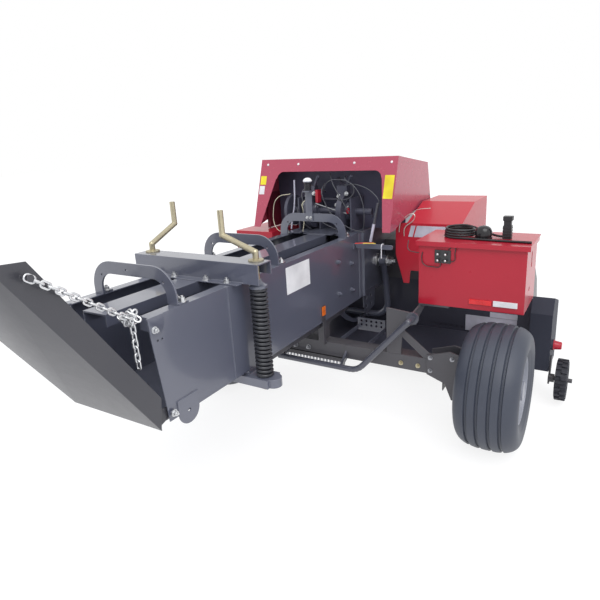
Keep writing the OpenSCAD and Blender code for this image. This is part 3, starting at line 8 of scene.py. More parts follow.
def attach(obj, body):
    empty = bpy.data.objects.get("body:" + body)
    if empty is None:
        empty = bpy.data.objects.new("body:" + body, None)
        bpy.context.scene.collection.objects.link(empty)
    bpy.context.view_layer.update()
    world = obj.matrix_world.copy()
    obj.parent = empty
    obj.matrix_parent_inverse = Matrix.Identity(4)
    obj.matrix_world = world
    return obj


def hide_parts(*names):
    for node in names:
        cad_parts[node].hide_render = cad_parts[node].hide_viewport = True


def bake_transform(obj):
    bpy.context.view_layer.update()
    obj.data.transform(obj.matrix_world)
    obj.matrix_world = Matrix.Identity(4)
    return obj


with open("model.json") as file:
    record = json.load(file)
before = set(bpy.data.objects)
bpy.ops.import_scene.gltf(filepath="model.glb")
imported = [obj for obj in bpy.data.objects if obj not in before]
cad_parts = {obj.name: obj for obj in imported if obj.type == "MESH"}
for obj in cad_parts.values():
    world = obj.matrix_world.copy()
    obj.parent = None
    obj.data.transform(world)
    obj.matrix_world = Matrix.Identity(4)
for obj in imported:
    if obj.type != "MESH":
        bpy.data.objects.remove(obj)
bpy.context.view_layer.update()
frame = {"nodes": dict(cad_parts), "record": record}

scene = bpy.context.scene
scene.view_settings.view_transform = "Standard"

# Viewpoint: a photographer stands behind the machine on its right and looks forward along the chamber.
# The lens, its turn and its offset come from the straight edges of the chamber and the hood. Places on the
# machine are in millimetres from the chamber's rear end, so one hinge with a known place there ties the two frames.
hinge = next(joint for joint in frame["record"]["behaviour"]["joints"] if joint["name"] == "chute_hinge")
hinge_y, hinge_z = 45.0, 563.0
ORIGIN = Vector((0.0, hinge_y, hinge_z)) - Vector(hinge["pos_m"]) * 1000.0


def place(x, y, z):
    return (Vector((x, y, z)) - ORIGIN) / 1000.0


lens = bpy.data.cameras.new("viewpoint")
lens.lens = 30.354
lens.sensor_width = 36.0
lens.shift_x = -0.0308
lens.shift_y = -0.021
lens.clip_end = 200.0
yaw, pitch, roll = (math.radians(turn) for turn in (30.52, 15.98, -2.78))
level = Vector((math.cos(yaw), math.sin(yaw), 0.0))
ahead = Vector((-math.sin(yaw) * math.cos(pitch), math.cos(yaw) * math.cos(pitch), -math.sin(pitch)))
above = level.cross(ahead)
across = level * math.cos(roll) + above * math.sin(roll)
upright = above * math.cos(roll) - level * math.sin(roll)
viewpoint = bpy.data.objects.new("viewpoint", lens)
stand = place(1561.0, -1107.0, 1489.0)
viewpoint.matrix_world = Matrix.Translation(stand) @ Matrix((across, upright, -ahead)).transposed().to_4x4()
scene.collection.objects.link(viewpoint)
scene.camera = viewpoint


# Studio: a pale matt floor under an even white sky, with one wide soft lamp high behind the machine, on its right.
# The sky and the floor show as plain white to the viewer, and the floor keeps a soft shadow.
class Tone:
    """One socket of a node tree. Sums on it add Math nodes, and put adds any other node."""

    def __init__(self, tree, socket=None, node=None):
        self.tree = tree
        self.socket = socket
        self.node = node

    def put(self, kind, settings=None, sockets=None, out=0):
        node = self.tree.nodes.new(kind)
        for key, value in (settings or {}).items():
            setattr(node, key, value)
        for key, value in (sockets or {}).items():
            for one in value if isinstance(value, list) else [value]:
                if isinstance(one, Tone):
                    self.tree.links.new(one.socket, node.inputs[key])
                else:
                    node.inputs[key].default_value = one
        return Tone(self.tree, node.outputs[out] if len(node.outputs) else None, node)

    def of(self, name):
        return Tone(self.tree, self.node.outputs[name], self.node)

    def sum(self, operation, a, b, clip=False):
        return self.put("ShaderNodeMath", {"operation": operation, "use_clamp": clip}, {0: a, 1: b})

    def __add__(self, other):
        return self.sum("ADD", self, other)

    def __sub__(self, other):
        return self.sum("SUBTRACT", self, other)

    def __rsub__(self, other):
        return self.sum("SUBTRACT", other, self)

    def __mul__(self, other):
        return self.sum("MULTIPLY", self, other)

    def __mod__(self, other):
        return self.sum("FLOORED_MODULO", self, other)

    __radd__ = __add__
    __rmul__ = __mul__

    def clip(self):
        return self.sum("ADD", self, 0.0, clip=True)

    def blend(self, share, first, second):
        first, second = ((*t, 1.0) if isinstance(t, tuple) else t for t in (first, second))
        return self.put("ShaderNodeMix", {"data_type": "RGBA"}, {0: share, 6: first, 7: second}, out=2)


def new_finish(name):
    finish = bpy.data.materials.new(name)
    finish.use_nodes = True
    finish.node_tree.nodes.clear()
    return finish, Tone(finish.node_tree)


sky = bpy.data.worlds.new("even_sky")
sky.use_nodes = True
sky.node_tree.nodes.clear()
t = Tone(sky.node_tree)
path = t.put("ShaderNodeLightPath")
seen = t.sum("MAXIMUM", t.sum("MAXIMUM", path.of("Is Camera Ray"), path.of("Is Glossy Ray")),
             path.of("Is Transmission Ray"))
height = t.put("ShaderNodeSeparateXYZ", None, {0: t.put("ShaderNodeTexCoord", out=0)}, out=2)
glow = t.blend((height * 0.7 + 0.3).clip(), (0.72, 0.74, 0.80), (1.0, 1.03, 1.10))
soft = t.put("ShaderNodeBackground", None, {0: glow, 1: 0.86})
plain = t.put("ShaderNodeBackground", None, {0: (1.0, 1.0, 1.0, 1.0), 1: 1.0})
t.put("ShaderNodeOutputWorld", None, {0: t.put("ShaderNodeMixShader", None, {0: seen, 1: soft, 2: plain})})
scene.world = sky

pale, t = new_finish("pale_floor")
path = t.put("ShaderNodeLightPath")
matt = t.put("ShaderNodeBsdfDiffuse", None, {"Color": (0.86, 0.86, 0.86, 1.0)})
lit = t.put("ShaderNodeEmission", None, {"Color": (1.0, 1.0, 1.0, 1.0), "Strength": 1.14})
share = t.sum("MAXIMUM", path.of("Is Camera Ray"), path.of("Is Glossy Ray")) * 0.74
t.put("ShaderNodeOutputMaterial", None, {0: t.put("ShaderNodeMixShader", None, {0: share, 1: matt, 2: lit})})
ground = bpy.data.meshes.new("floor")
reach, sunk = 40, -0.001
corners = [(-reach, -reach, sunk), (reach, -reach, sunk), (reach, reach, sunk), (-reach, reach, sunk)]
ground.from_pydata(corners, [], [(0, 1, 2, 3)])
ground.materials.append(pale)
floor = bpy.data.objects.new("floor", ground)
scene.collection.objects.link(floor)

daylight = bpy.data.lights.new("daylight", "SUN")
daylight.energy = 1.7
daylight.angle = math.radians(50)
lamp = bpy.data.objects.new("daylight", daylight)
lamp.rotation_euler = (math.radians(34), math.radians(14), math.radians(20))
scene.collection.objects.link(lamp)

# Wiring harness: a black sheathed cable that comes over the right end of the twine box's lid and lies there in a
# coil, with a domed sounder beside it and a moulded connector standing on its end. All ride on the lid.
def add(name, mesh, finish=None):
    piece = bpy.data.objects.new(name, mesh)
    scene.collection.objects.link(piece)
    if finish is not None:
        mesh.materials.clear()
        mesh.materials.append(finish)
    return piece


def settle(piece):
    mesh = bpy.data.meshes.new_from_object(piece.evaluated_get(bpy.context.evaluated_depsgraph_get()))
    piece.modifiers.clear()
    piece.data = mesh
    return piece


def moulded(name, colour, rough, grain, depth):
    finish, t = new_finish(name)
    spot = t.put("ShaderNodeTexCoord", out=3)
    broad = t.put("ShaderNodeTexNoise", None, {"Vector": spot, "Scale": 9.0, "Detail": 4.0})
    fine = t.put("ShaderNodeTexNoise", None, {"Vector": spot, "Scale": grain, "Detail": 3.0})
    paler = tuple(min(1.0, c * 1.8 + 0.012) for c in colour)
    tint = t.blend((broad * 1.6 - 0.45).clip(), colour, paler)
    relief = t.put("ShaderNodeBump", None, {"Strength": depth, "Distance": 0.0008, "Height": fine})
    body = t.put("ShaderNodeBsdfPrincipled", None,
                 {"Base Color": tint, "Roughness": (fine * 0.2 + rough), "Normal": relief})
    t.put("ShaderNodeOutputMaterial", None, {0: body})
    return finish


cable_black = moulded("cable_black", (0.011, 0.011, 0.013), 0.32, 160.0, 0.2)
cable_r = 6.0
lid_top = 988.0
coil_mid, coil_r, coil_turns, turn_points = (893.8, 1490.0), 75.0, 3.5, 32
coil_taper, coil_pitch = 6.0, 2.02
lead_x, lead_y, lead_step, lead_bow, lead_points = 1252.0, 1392.0, 22.0, 23.0, 15
end_run, end_side, end_lift, end_points = 210.0, 62.0, 3.0, 14
route = [Vector((lead_x - lead_step * i, lead_y + lead_bow * (i / lead_points) ** 2, lid_top + cable_r))
         for i in range(lead_points)]
steps = int(coil_turns * turn_points)
for i in range(steps + 1):
    angle = math.radians(-90.0) - 2.0 * math.pi * i / turn_points
    reach = coil_r - coil_taper * i / steps
    rise = (i / turn_points) * cable_r * coil_pitch
    route.append(Vector((coil_mid[0] + reach * math.cos(angle), coil_mid[1] + reach * math.sin(angle),
                         lid_top + cable_r + rise)))
top = route[-1]
for i in range(1, end_points + 1):
    s = i / end_points
    ease = s * s * (3 - 2 * s)
    drop = (lid_top + cable_r + end_lift - top.z) * ease
    route.append(Vector((top.x + end_run * s, top.y - end_side * ease, top.z + drop)))
route = [place(*p) for p in route]
line = bpy.data.curves.new("harness_cable", "CURVE")
line.dimensions = "3D"
line.bevel_depth = cable_r / 1000.0
line.bevel_resolution = 4
line.use_fill_caps = True
strand = line.splines.new("POLY")
strand.points.add(len(route) - 1)
for point, spot in zip(strand.points, route):
    point.co = (*spot, 1.0)
line.materials.append(cable_black)
cable = bpy.data.objects.new("harness_cable", line)
scene.collection.objects.link(cable)
cable_length = sum((b - a).length for a, b in zip(route, route[1:]))


def turned(name, outline, middle, axis, finish, segments=48):
    """A body turned from an outline of (radius, height) pairs about an axis through middle, in metres."""
    bm = bmesh.new()
    axis = Vector(axis).normalized()
    turn = axis.to_track_quat("Z", "Y").to_matrix()
    rings = []
    for radius, rise in outline:
        if radius < 1e-6:
            rings.append([bm.verts.new(Vector(middle) + turn @ Vector((0, 0, rise)))])
            continue
        rings.append([bm.verts.new(Vector(middle) + turn @ Vector((radius * math.cos(a), radius * math.sin(a), rise)))
                      for a in (2 * math.pi * k / segments for k in range(segments))])
    for low, high in zip(rings, rings[1:]):
        for k in range(segments):
            n = (k + 1) % segments
            corners = [low[k % len(low)], low[n % len(low)], high[n % len(high)], high[k % len(high)]]
            corners = list(dict.fromkeys(corners))
            if len(corners) > 2:
                bm.faces.new(corners)
    bmesh.ops.recalc_face_normals(bm, faces=bm.faces)
    mesh = bpy.data.meshes.new(name)
    bm.to_mesh(mesh)
    bm.free()
    mesh.shade_smooth()
    mesh.set_sharp_from_angle(angle=math.radians(38))
    return add(name, mesh, finish)


puck_outline = [(0.0, 0.0), (0.041, 0.0), (0.042, 0.003), (0.042, 0.012), (0.038, 0.014), (0.038, 0.017),
                (0.042, 0.019), (0.042, 0.030), (0.040, 0.042), (0.034, 0.054), (0.024, 0.062), (0.012, 0.066),
                (0.0, 0.067)]
puck = turned("harness_sounder", puck_outline, place(1018.0, 1457.0, lid_top), (0, 0, 1),
              moulded("gloss_black", (0.008, 0.008, 0.010), 0.12, 60.0, 0.05))


def blocks(name, boxes, finish, edge=0.001):
    """One piece from boxes, each (low corner, high corner) in machine millimetres, with rounded edges."""
    bm = bmesh.new()
    for low, high in boxes:
        low, high = place(*low), place(*high)
        size = high - low
        spot = Matrix.Translation((low + high) / 2) @ Matrix.Diagonal((*size, 1.0))
        bmesh.ops.create_cube(bm, size=1.0, matrix=spot)
    mesh = bpy.data.meshes.new(name)
    bm.to_mesh(mesh)
    bm.free()
    piece = add(name, mesh, finish)
    if edge:
        bevel = piece.modifiers.new("edge", "BEVEL")
        bevel.width = edge
        bevel.segments = 2
        mesh.shade_smooth()
        bevel.harden_normals = True
        settle(piece)
    return piece


plug_x, plug_y = 1111.3, 1490.0
connector = blocks("harness_connector", [
    ((plug_x - 6, plug_y - 19, lid_top), (plug_x + 34, plug_y + 19, lid_top + 66)),
    ((plug_x - 3, plug_y - 16, lid_top + 65), (plug_x + 31, plug_y + 16, lid_top + 92)),
    ((plug_x - 7, plug_y - 21, lid_top + 91), (plug_x + 37, plug_y + 21, lid_top + 112)),
    *[((plug_x - 7, plug_y - 20.5, lid_top + z), (plug_x + 35.5, plug_y + 20.5, lid_top + z + 5))
      for z in (10, 24, 38, 52)],
], cable_black)
for piece in (puck, connector):
    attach(piece, "lid")
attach(cable, "lid")
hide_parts("harness")

# Bale chamber: two folded steel walls on a floor plate, a channel rail along the middle and three plate arches.
# All of it is powder coated in dark slate, with soft folded edges. The mast carries a ribbed plug and a white cap.
carrier = {node: body for body, nodes in frame["record"]["behaviour"]["bodies"].items() for node in nodes}


def painted(name, colour, shade, rough, coat, dust, settle_share, peel, gloss=0.5):
    finish, t = new_finish(name)
    spot = t.put("ShaderNodeTexCoord", out=3)
    broad = t.put("ShaderNodeTexNoise", None, {"Vector": spot, "Scale": 2.1, "Detail": 5.0, "Roughness": 0.62})
    smudge = t.put("ShaderNodeTexNoise", None, {"Vector": spot, "Scale": 21.0, "Detail": 6.0, "Roughness": 0.7})
    grain = t.put("ShaderNodeTexNoise", None, {"Vector": spot, "Scale": 330.0, "Detail": 2.0})
    speck = t.put("ShaderNodeTexVoronoi", {"feature": "F1"}, {"Vector": spot, "Scale": 46.0})
    upward = t.put("ShaderNodeSeparateXYZ", None, {0: t.put("ShaderNodeNewGeometry", out=1)}, out=2)
    lying = (upward * 1.3 - 0.35).clip() * (smudge * 1.9 - 0.45).clip()
    fleck = (0.09 - speck).clip() * 14.0
    tint = t.blend((broad * 1.8 - 0.4).clip(), colour, shade)
    tint = t.blend((lying * settle_share + fleck * settle_share * 0.35).clip(), tint, dust)
    relief = t.put("ShaderNodeBump", None, {"Strength": peel, "Distance": 0.0006, "Height": grain})
    relief = t.put("ShaderNodeBump", None, {"Strength": 0.03, "Distance": 0.004, "Height": broad, "Normal": relief})
    body = t.put("ShaderNodeBsdfPrincipled", None, {
        "Base Color": tint, "Roughness": (smudge * 0.14 + (rough - 0.07) + lying * settle_share * 0.5).clip(),
        "Coat Weight": coat, "Coat Roughness": 0.09, "Specular IOR Level": gloss, "Normal": relief})
    t.put("ShaderNodeOutputMaterial", None, {0: body})
    return finish


def rounded(node, width, finish):
    """A CAD node's own shape with its folded and cut edges rounded over, in place of the node."""
    fold = math.radians(33.0)
    bm = bmesh.new()
    bm.from_mesh(frame["nodes"][node].data)
    bmesh.ops.remove_doubles(bm, verts=bm.verts, dist=2e-5)
    bmesh.ops.dissolve_limit(bm, angle_limit=math.radians(0.6), use_dissolve_boundaries=False, verts=bm.verts,
                             edges=bm.edges)
    mesh = bpy.data.meshes.new(node + "_made")
    bm.to_mesh(mesh)
    bm.free()
    mesh.shade_smooth()
    mesh.set_sharp_from_angle(angle=fold)
    piece = add(node + "_made", mesh, finish)
    if width:
        bevel = piece.modifiers.new("edge", "BEVEL")
        bevel.width = width
        bevel.segments = 2
        bevel.limit_method = "ANGLE"
        bevel.angle_limit = fold
        bevel.use_clamp_overlap = False
        bevel.harden_normals = True
        settle(piece)
    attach(piece, carrier[node])
    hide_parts(node)
    return piece


slate = painted("slate_powder_coat", (0.088, 0.095, 0.133), (0.106, 0.113, 0.152), 0.34, 0.85, (0.34, 0.35, 0.38), 0.16,
                0.05, gloss=0.8)
for node in ("wall_right", "wall_left", "chamber_floor", "chamber_top", "top_rail"):
    rounded(node, 0.001, slate)
for node in ("arches", "arch_mast"):
    rounded(node, 0.0012, slate)


def bright(name, colour, shade, rough, scale):
    finish, t = new_finish(name)
    spot = t.put("ShaderNodeTexCoord", out=3)
    cell = t.put("ShaderNodeTexVoronoi", {"feature": "F1"}, {"Vector": spot, "Scale": scale})
    haze = t.put("ShaderNodeTexNoise", None, {"Vector": spot, "Scale": scale * 0.4, "Detail": 6.0, "Roughness": 0.65})
    scuff = t.put("ShaderNodeTexNoise", None, {"Vector": spot, "Scale": scale * 5.0, "Detail": 2.0})
    tint = t.blend((haze * 1.7 - 0.35).clip(), colour, shade)
    relief = t.put("ShaderNodeBump", None, {"Strength": 0.12, "Distance": 0.0005, "Height": scuff})
    body = t.put("ShaderNodeBsdfPrincipled", None, {
        "Base Color": tint, "Metallic": 1.0, "Roughness": (cell * 0.22 + haze * 0.16 + (rough - 0.15)).clip(),
        "Normal": relief})
    t.put("ShaderNodeOutputMaterial", None, {0: body})
    return finish


zinc_white = bright("bright_zinc", (0.78, 0.79, 0.80), (0.58, 0.59, 0.61), 0.32, 60.0)


def tree_of(name, inputs):
    tree = bpy.data.node_groups.new(name, "GeometryNodeTree")
    for label, kind in [("Geometry", "NodeSocketGeometry")] + inputs:
        tree.interface.new_socket(label, in_out="INPUT", socket_type=kind)
    tree.interface.new_socket("Geometry", in_out="OUTPUT", socket_type="NodeSocketGeometry")
    t = Tone(tree)
    return tree, t, t.put("NodeGroupInput")


def closing(t, shape, finish):
    real = t.put("GeometryNodeRealizeInstances", None, {0: shape})
    t.put("NodeGroupOutput", None, {0: t.put("GeometryNodeSetMaterial", None, {"Geometry": real, "Material": finish})})


def grown(piece, tree, **values):
    """The plain mesh that a node tree grows on a piece, with its inputs set by identifier."""
    growth = piece.modifiers.new("growth", "NODES")
    growth.node_group = tree
    for item in tree.interface.items_tree:
        if item.item_type == "SOCKET" and item.in_out == "INPUT" and item.name in values:
            growth[item.identifier] = values[item.name]
    return settle(piece)


def raised(t, shape, height):
    lift = t.put("ShaderNodeCombineXYZ", None, {2: height})
    return t.put("GeometryNodeTransform", None, {"Geometry": shape, "Translation": lift})


def heads_on(t, entry, fitting):
    """One fitting on each point, turned the way the point faces and as wide as the point says."""
    facing = t.put("GeometryNodeInputNamedAttribute", {"data_type": "FLOAT_VECTOR"}, {"Name": "facing"})
    width = t.put("GeometryNodeInputNamedAttribute", {"data_type": "FLOAT"}, {"Name": "width"})
    aim = t.put("FunctionNodeAlignRotationToVector", {"axis": "Z"}, {"Vector": facing})
    heads = t.put("GeometryNodeInstanceOnPoints", None, {
        "Points": entry.of("Geometry"), "Instance": fitting, "Rotation": aim, "Scale": width})
    closing(t, heads, entry.of("Finish"))


hex_tree, t, entry = tree_of("hex_bolts", [
    ("Finish", "NodeSocketMaterial"), ("Head height", "NodeSocketFloat"), ("Stud", "NodeSocketFloat")])
nut = t.put("GeometryNodeMeshCylinder", None, {"Vertices": 6, "Radius": 0.577, "Depth": entry.of("Head height")})
nut = raised(t, nut, entry.of("Head height") * 0.5 + 0.1)
washer = t.put("GeometryNodeMeshCylinder", None, {"Vertices": 20, "Radius": 0.78, "Depth": 0.2})
stud = t.put("GeometryNodeMeshCylinder", None, {"Vertices": 12, "Radius": 0.28, "Depth": entry.of("Stud")})
stud = raised(t, stud, entry.of("Head height") + entry.of("Stud") * 0.5)
heads_on(t, entry, t.put("GeometryNodeJoinGeometry", None, {0: [nut, washer, stud]}))

rivet_tree, t, entry = tree_of("domed_rivets", [("Finish", "NodeSocketMaterial"), ("Rise", "NodeSocketFloat")])
dome = t.put("GeometryNodeMeshUVSphere", None, {"Segments": 16, "Rings": 8, "Radius": 0.5})
flat = t.put("ShaderNodeCombineXYZ", None, {0: 1.0, 1: 1.0, 2: entry.of("Rise")})
dome = t.put("GeometryNodeTransform", None, {"Geometry": dome, "Scale": flat})
heads_on(t, entry, t.put("GeometryNodeSetShadeSmooth", None, {"Geometry": dome}))


def fasteners(name, body, rows, finish, slot, tree=None, **values):
    """Heads at rows of (x, y, z, facing, width), in machine millimetres."""
    mesh = bpy.data.meshes.new(name)
    mesh.from_pydata([place(*row[:3]) for row in rows], [], [])
    mesh.attributes.new("facing", "FLOAT_VECTOR", "POINT")
    mesh.attributes.new("width", "FLOAT", "POINT")
    for i, row in enumerate(rows):
        mesh.attributes["facing"].data[i].vector = Vector(row[3]).normalized()
        mesh.attributes["width"].data[i].value = row[4] / 1000.0
    values = values or {"Head height": 0.62, "Stud": 0.5}
    piece = grown(add(name, mesh), tree or hex_tree, Finish=finish, **values)
    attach(piece, body)
    return piece


UP, RIGHT, BACK = (0, 0, 1), (1, 0, 0), (0, -1, 0)
foot_mid, foot_top, foot_bolt = 28.0, 951.0, 19.0
chamber_bolts = [(side * x, arch_y + foot_mid, foot_top, UP, foot_bolt)
                 for arch_y in (146.0, 799.0, 1499.0) for side in (-1, 1) for x in (197.0, 222.0)]
chamber_bolts += [(side * 239.0, 14.0, 896.0, (side, 0, 0), 17.0) for side in (-1, 1)]
fasteners("chamber_bolts", "frame", chamber_bolts, zinc_white, "galvanised")
wall_bolts = [(side * 235.0, y, z, (side, 0, 0), 20.0) for side in (-1, 1)
              for y, z in ((1374, 828), (1539, 785), (1374, 640), (1539, 620))]
fasteners("wall_bolts", "frame", wall_bolts, slate, "slate_paint")
mast_x, mast_y, mast_top = -8.8, 1487.0, 1266.0
mast_bolts = [(x, mast_y, 1058.0, BACK, 12.0) for x in (-23.0, 2.0)]
fasteners("mast_bolts", "frame", mast_bolts, zinc_white, "galvanised")
paper = moulded("white_card", (0.66, 0.66, 0.67), 0.55, 90.0, 0.04)
card = blocks("wall_card", [((234.6, 841, 784), (236.0, 1060, 918))], paper, 0.0004)
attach(card, "frame")
hook_boxes = [((min(side * 186, side * 230), 0, 893), (max(side * 186, side * 230), 5, 938)) for side in (-1, 1)]
hook_plates = blocks("hook_plates", hook_boxes, slate, 0.0006)
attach(hook_plates, "frame")
cap_outline = [(0.0, 0.0), (0.026, 0.0), (0.0275, 0.003), (0.026, 0.007), (0.020, 0.016), (0.010, 0.021), (0.0, 0.022)]
cap = turned("mast_cap", cap_outline, place(mast_x, mast_y, mast_top + 5.0), UP,
             moulded("cap_white", (0.72, 0.73, 0.75), 0.3, 70.0, 0.05))
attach(cap, "frame")
plug_foot, rib_pitch, rib_start = 1220.0, 0.011, 0.0005
rib = ((0.0215, 0.0), (0.0215, 0.006), (0.018, 0.0075), (0.018, 0.0105))
plug_rings = [(0.0, 0.0)] + [(radius, rib_start + rib_pitch * k + lift) for k in range(4) for radius, lift in rib]
plug_rings += [(0.0, 0.0450)]
mast_plug = turned("mast_plug", plug_rings, place(mast_x, mast_y, plug_foot), UP,
                   moulded("plug_black", (0.012, 0.012, 0.018), 0.25, 60.0, 0.05))
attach(mast_plug, "frame")

# Density screws: an upper and a lower cross beam pinch the chamber through two long springs on screwed rods.
# The springs are wound black wire over a black tube that stands in for the shaded rod inside, under slate caps; the
# cranks are bent yellow-zinc bar.
for node in ("cross_beam", "low_beam"):
    rounded(node, 0.002, slate)
yellow_zinc = bright("yellow_zinc", (0.60, 0.54, 0.38), (0.46, 0.42, 0.31), 0.40, 34.0)
rounded("cranks", 0.0008, yellow_zinc)
black_wire = painted("black_spring_wire", (0.020, 0.021, 0.027), (0.030, 0.032, 0.040), 0.38, 0.25, (0.2, 0.2, 0.2),
                     0.10, 0.10)
coil_tree, t, entry = tree_of("wound_springs", [
    ("Finish", "NodeSocketMaterial"), ("Wire", "NodeSocketFloat"), ("Radius", "NodeSocketFloat"),
    ("Height", "NodeSocketFloat"), ("Turns", "NodeSocketFloat")])
ring = t.put("GeometryNodeCurvePrimitiveCircle", None, {"Resolution": 12, "Radius": entry.of("Wire") * 0.5})
winding = t.put("GeometryNodeCurveSpiral", None, {
    "Resolution": 36, "Rotations": entry.of("Turns"), "Start Radius": entry.of("Radius"),
    "End Radius": entry.of("Radius"), "Height": entry.of("Height") - entry.of("Wire")})
winding = raised(t, winding, entry.of("Wire") * 0.5)
loop = t.put("GeometryNodeCurvePrimitiveCircle", None, {"Resolution": 36, "Radius": entry.of("Radius")})
low_loop = raised(t, loop, entry.of("Wire") * 0.5)
high_loop = raised(t, loop, entry.of("Height") - entry.of("Wire") * 0.5)
coils = t.put("GeometryNodeJoinGeometry", None, {0: [winding, low_loop, high_loop]})
coils = t.put("GeometryNodeCurveToMesh", None, {"Curve": coils, "Profile Curve": ring, "Fill Caps": True})
coils = t.put("GeometryNodeSetShadeSmooth", None, {"Geometry": coils})
closing(t, t.put("GeometryNodeInstanceOnPoints", None, {"Points": entry.of("Geometry"), "Instance": coils}),
        entry.of("Finish"))
spring_foot, spring_top, screw_x, screw_y = 512.0, 915.0, 302.0, 530.0
seats = bpy.data.meshes.new("density_springs")
seats.from_pydata([place(side * screw_x, screw_y, spring_foot) for side in (-1, 1)], [], [])
springs = grown(add("density_springs", seats), coil_tree, Finish=black_wire, Wire=0.0142, Radius=0.0318,
                Height=(spring_top - spring_foot) / 1000.0, Turns=21.0)
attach(springs, "frame")
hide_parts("springs")
# Black tubes inside the springs are painted shade: they darken the rods there as shadow would.
shade_core_outline = [(0.0, 0.0), (0.030, 0.0), (0.030, 0.006), (0.022, 0.008), (0.022, 0.392), (0.030, 0.394),
                  (0.030, 0.400), (0.0, 0.400)]
for side, word in ((1, "right"), (-1, "left")):
    shade_core = turned("spring_shade_core_" + word, shade_core_outline, place(side * screw_x, screw_y, spring_foot + 1.5), UP,
                    black_wire, segments=32)
    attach(shade_core, "frame")
cone_outline = [(0.0, 0.0), (0.0394, 0.0), (0.0396, 0.002), (0.0396, 0.0115), (0.034, 0.0145), (0.020, 0.024),
                (0.0145, 0.036), (0.0, 0.036)]
for side, word in ((1, "right"), (-1, "left")):
    cone = turned("spring_cap_" + word, cone_outline, place(side * screw_x, screw_y, spring_top - 0.4), UP, slate,
                  segments=40)
    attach(cone, "frame")
beam_bolts = [(side * x, 446.0, 949.0, UP, 20.0) for side in (-1, 1) for x in (205.0, 92.0)]
fasteners("beam_bolts", "frame", beam_bolts, zinc_white, "galvanised")

# Bale chute: one folded pan hinged under the chamber's rear end and held up on two welded-link chains.
# The pan is a darker and duller grey than the chamber. The chains are bright zinc, with their spare links
# bundled at the hooks; each span runs straight from the chute to the frame.
chute_grey = painted("chute_powder_coat", (0.046, 0.046, 0.056), (0.060, 0.059, 0.068), 0.40, 0.25, (0.30, 0.29, 0.27),
                     0.12, 0.12)
rounded("chute", 0.0015, chute_grey)
chain_tree, t, entry = tree_of("welded_chain", [
    ("Finish", "NodeSocketMaterial"), ("From", "NodeSocketVector"), ("To", "NodeSocketVector"),
    ("Links", "NodeSocketInt"), ("First turn", "NodeSocketFloat"), ("Length", "NodeSocketFloat"),
    ("Width", "NodeSocketFloat"), ("Wire", "NodeSocketFloat"), ("Side", "NodeSocketVector")])
shape = t.put("GeometryNodeCurvePrimitiveQuadrilateral", None,
              {"Width": entry.of("Length") - entry.of("Wire"), "Height": entry.of("Width") - entry.of("Wire")})
shape = t.put("GeometryNodeFilletCurve", {"mode": "POLY"},
              {"Curve": shape, "Radius": (entry.of("Width") - entry.of("Wire")) * 0.499, "Count": 7})
ring = t.put("GeometryNodeCurvePrimitiveCircle", None, {"Resolution": 10, "Radius": entry.of("Wire") * 0.5})
link = t.put("GeometryNodeCurveToMesh", None, {"Curve": shape, "Profile Curve": ring})
link = t.put("GeometryNodeSetShadeSmooth", None, {"Geometry": link})
row = t.put("GeometryNodeMeshLine", {"mode": "END_POINTS"},
            {"Count": entry.of("Links"), "Start Location": entry.of("From"), "Offset": entry.of("To")})
run = t.put("ShaderNodeVectorMath", {"operation": "SUBTRACT"}, {0: entry.of("To"), 1: entry.of("From")})
aim = t.put("FunctionNodeAxesToRotation", {"primary_axis": "X", "secondary_axis": "Y"}, {0: run, 1: entry.of("Side")})
quarter = ((t.put("GeometryNodeInputIndex") + entry.of("First turn")) % 2.0) * (math.pi / 2)
roll_node = t.put("FunctionNodeAxisAngleToRotation", None, {"Axis": (1.0, 0.0, 0.0), "Angle": quarter})
aim = t.put("FunctionNodeRotateRotation", {"rotation_space": "LOCAL"}, {0: aim, 1: roll_node})
closing(t, t.put("GeometryNodeInstanceOnPoints", None, {"Points": row, "Instance": link, "Rotation": aim}),
        entry.of("Finish"))
link_len, link_w, link_wire = 40.0, 25.0, 7.0
chain_zinc = bright("chain_zinc", (0.86, 0.87, 0.88), (0.66, 0.67, 0.70), 0.30, 70.0)
rise = math.radians(57.4)
pan_length, pan_flange, eye_share, eye_x = 845.0, 82.0, 0.39, 272.0
eye_run, eye_n = pan_length - pan_flange, -pan_flange * eye_share
eye = Vector((eye_x, hinge_y - eye_run * math.cos(rise) + eye_n * math.sin(rise),
              hinge_z + eye_run * math.sin(rise) + eye_n * math.cos(rise)))
hook = Vector((221.0, -46.0, 947.0))
span_links, tail_links = 17, 7
knots = [((180, -68, 958), (230, -50, 968), 2, 0.0), ((192, -60, 934), (198, -40, 978), 2, 1.0),
         ((214, -60, 938), (220, -38, 980), 2, 0.0), ((172, -64, 962), (206, -54, 930), 2, 1.0),
         ((204, -56, 976), (240, -44, 952), 2, 0.0)]


def chain(name, start, end, count, first_turn):
    step = (end - start) / count
    piece = grown(add(name, bpy.data.meshes.new(name)), chain_tree, Finish=chain_zinc,
                  From=place(*(start + step * 0.5)), To=place(*(end - step * 0.5)), Links=count,
                  **{"First turn": first_turn}, Length=link_len / 1000, Width=link_w / 1000, Wire=link_wire / 1000,
                  Side=(1.0, 0.0, 0.0))
    return piece


for side, word in ((1, "right"), (-1, "left")):
    flip = Matrix.Diagonal((side, 1.0, 1.0))
    way = (hook - eye).normalized() * link_len * 0.15
    span = chain("chute_chain_" + word, flip @ (eye - way), flip @ (hook + way), span_links, 1.0)
    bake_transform(span)
    head = Vector((side * 206.0, -46.0, 952.0))
    tail = chain("chain_tail_" + word, head, head - Vector((0, 0, tail_links * (link_len - link_wire * 2.05))),
                 tail_links, 0.0)
    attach(tail, "frame")
    for k, (low, high, links, turn) in enumerate(knots):
        knot = chain("chain_knot_%s_%d" % (word, k), flip @ Vector(low), flip @ Vector(high), links, turn)
        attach(knot, "frame")
    if side == 1:
        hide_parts("chains")
        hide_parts("chain_tails")
chute_bolts = [(side * 245.0, hinge_y, hinge_z, (side, 0, 0), 18.0) for side in (-1, 1)]
fasteners("chute_hinge_nuts", "frame", chute_bolts, zinc_white, "galvanised")
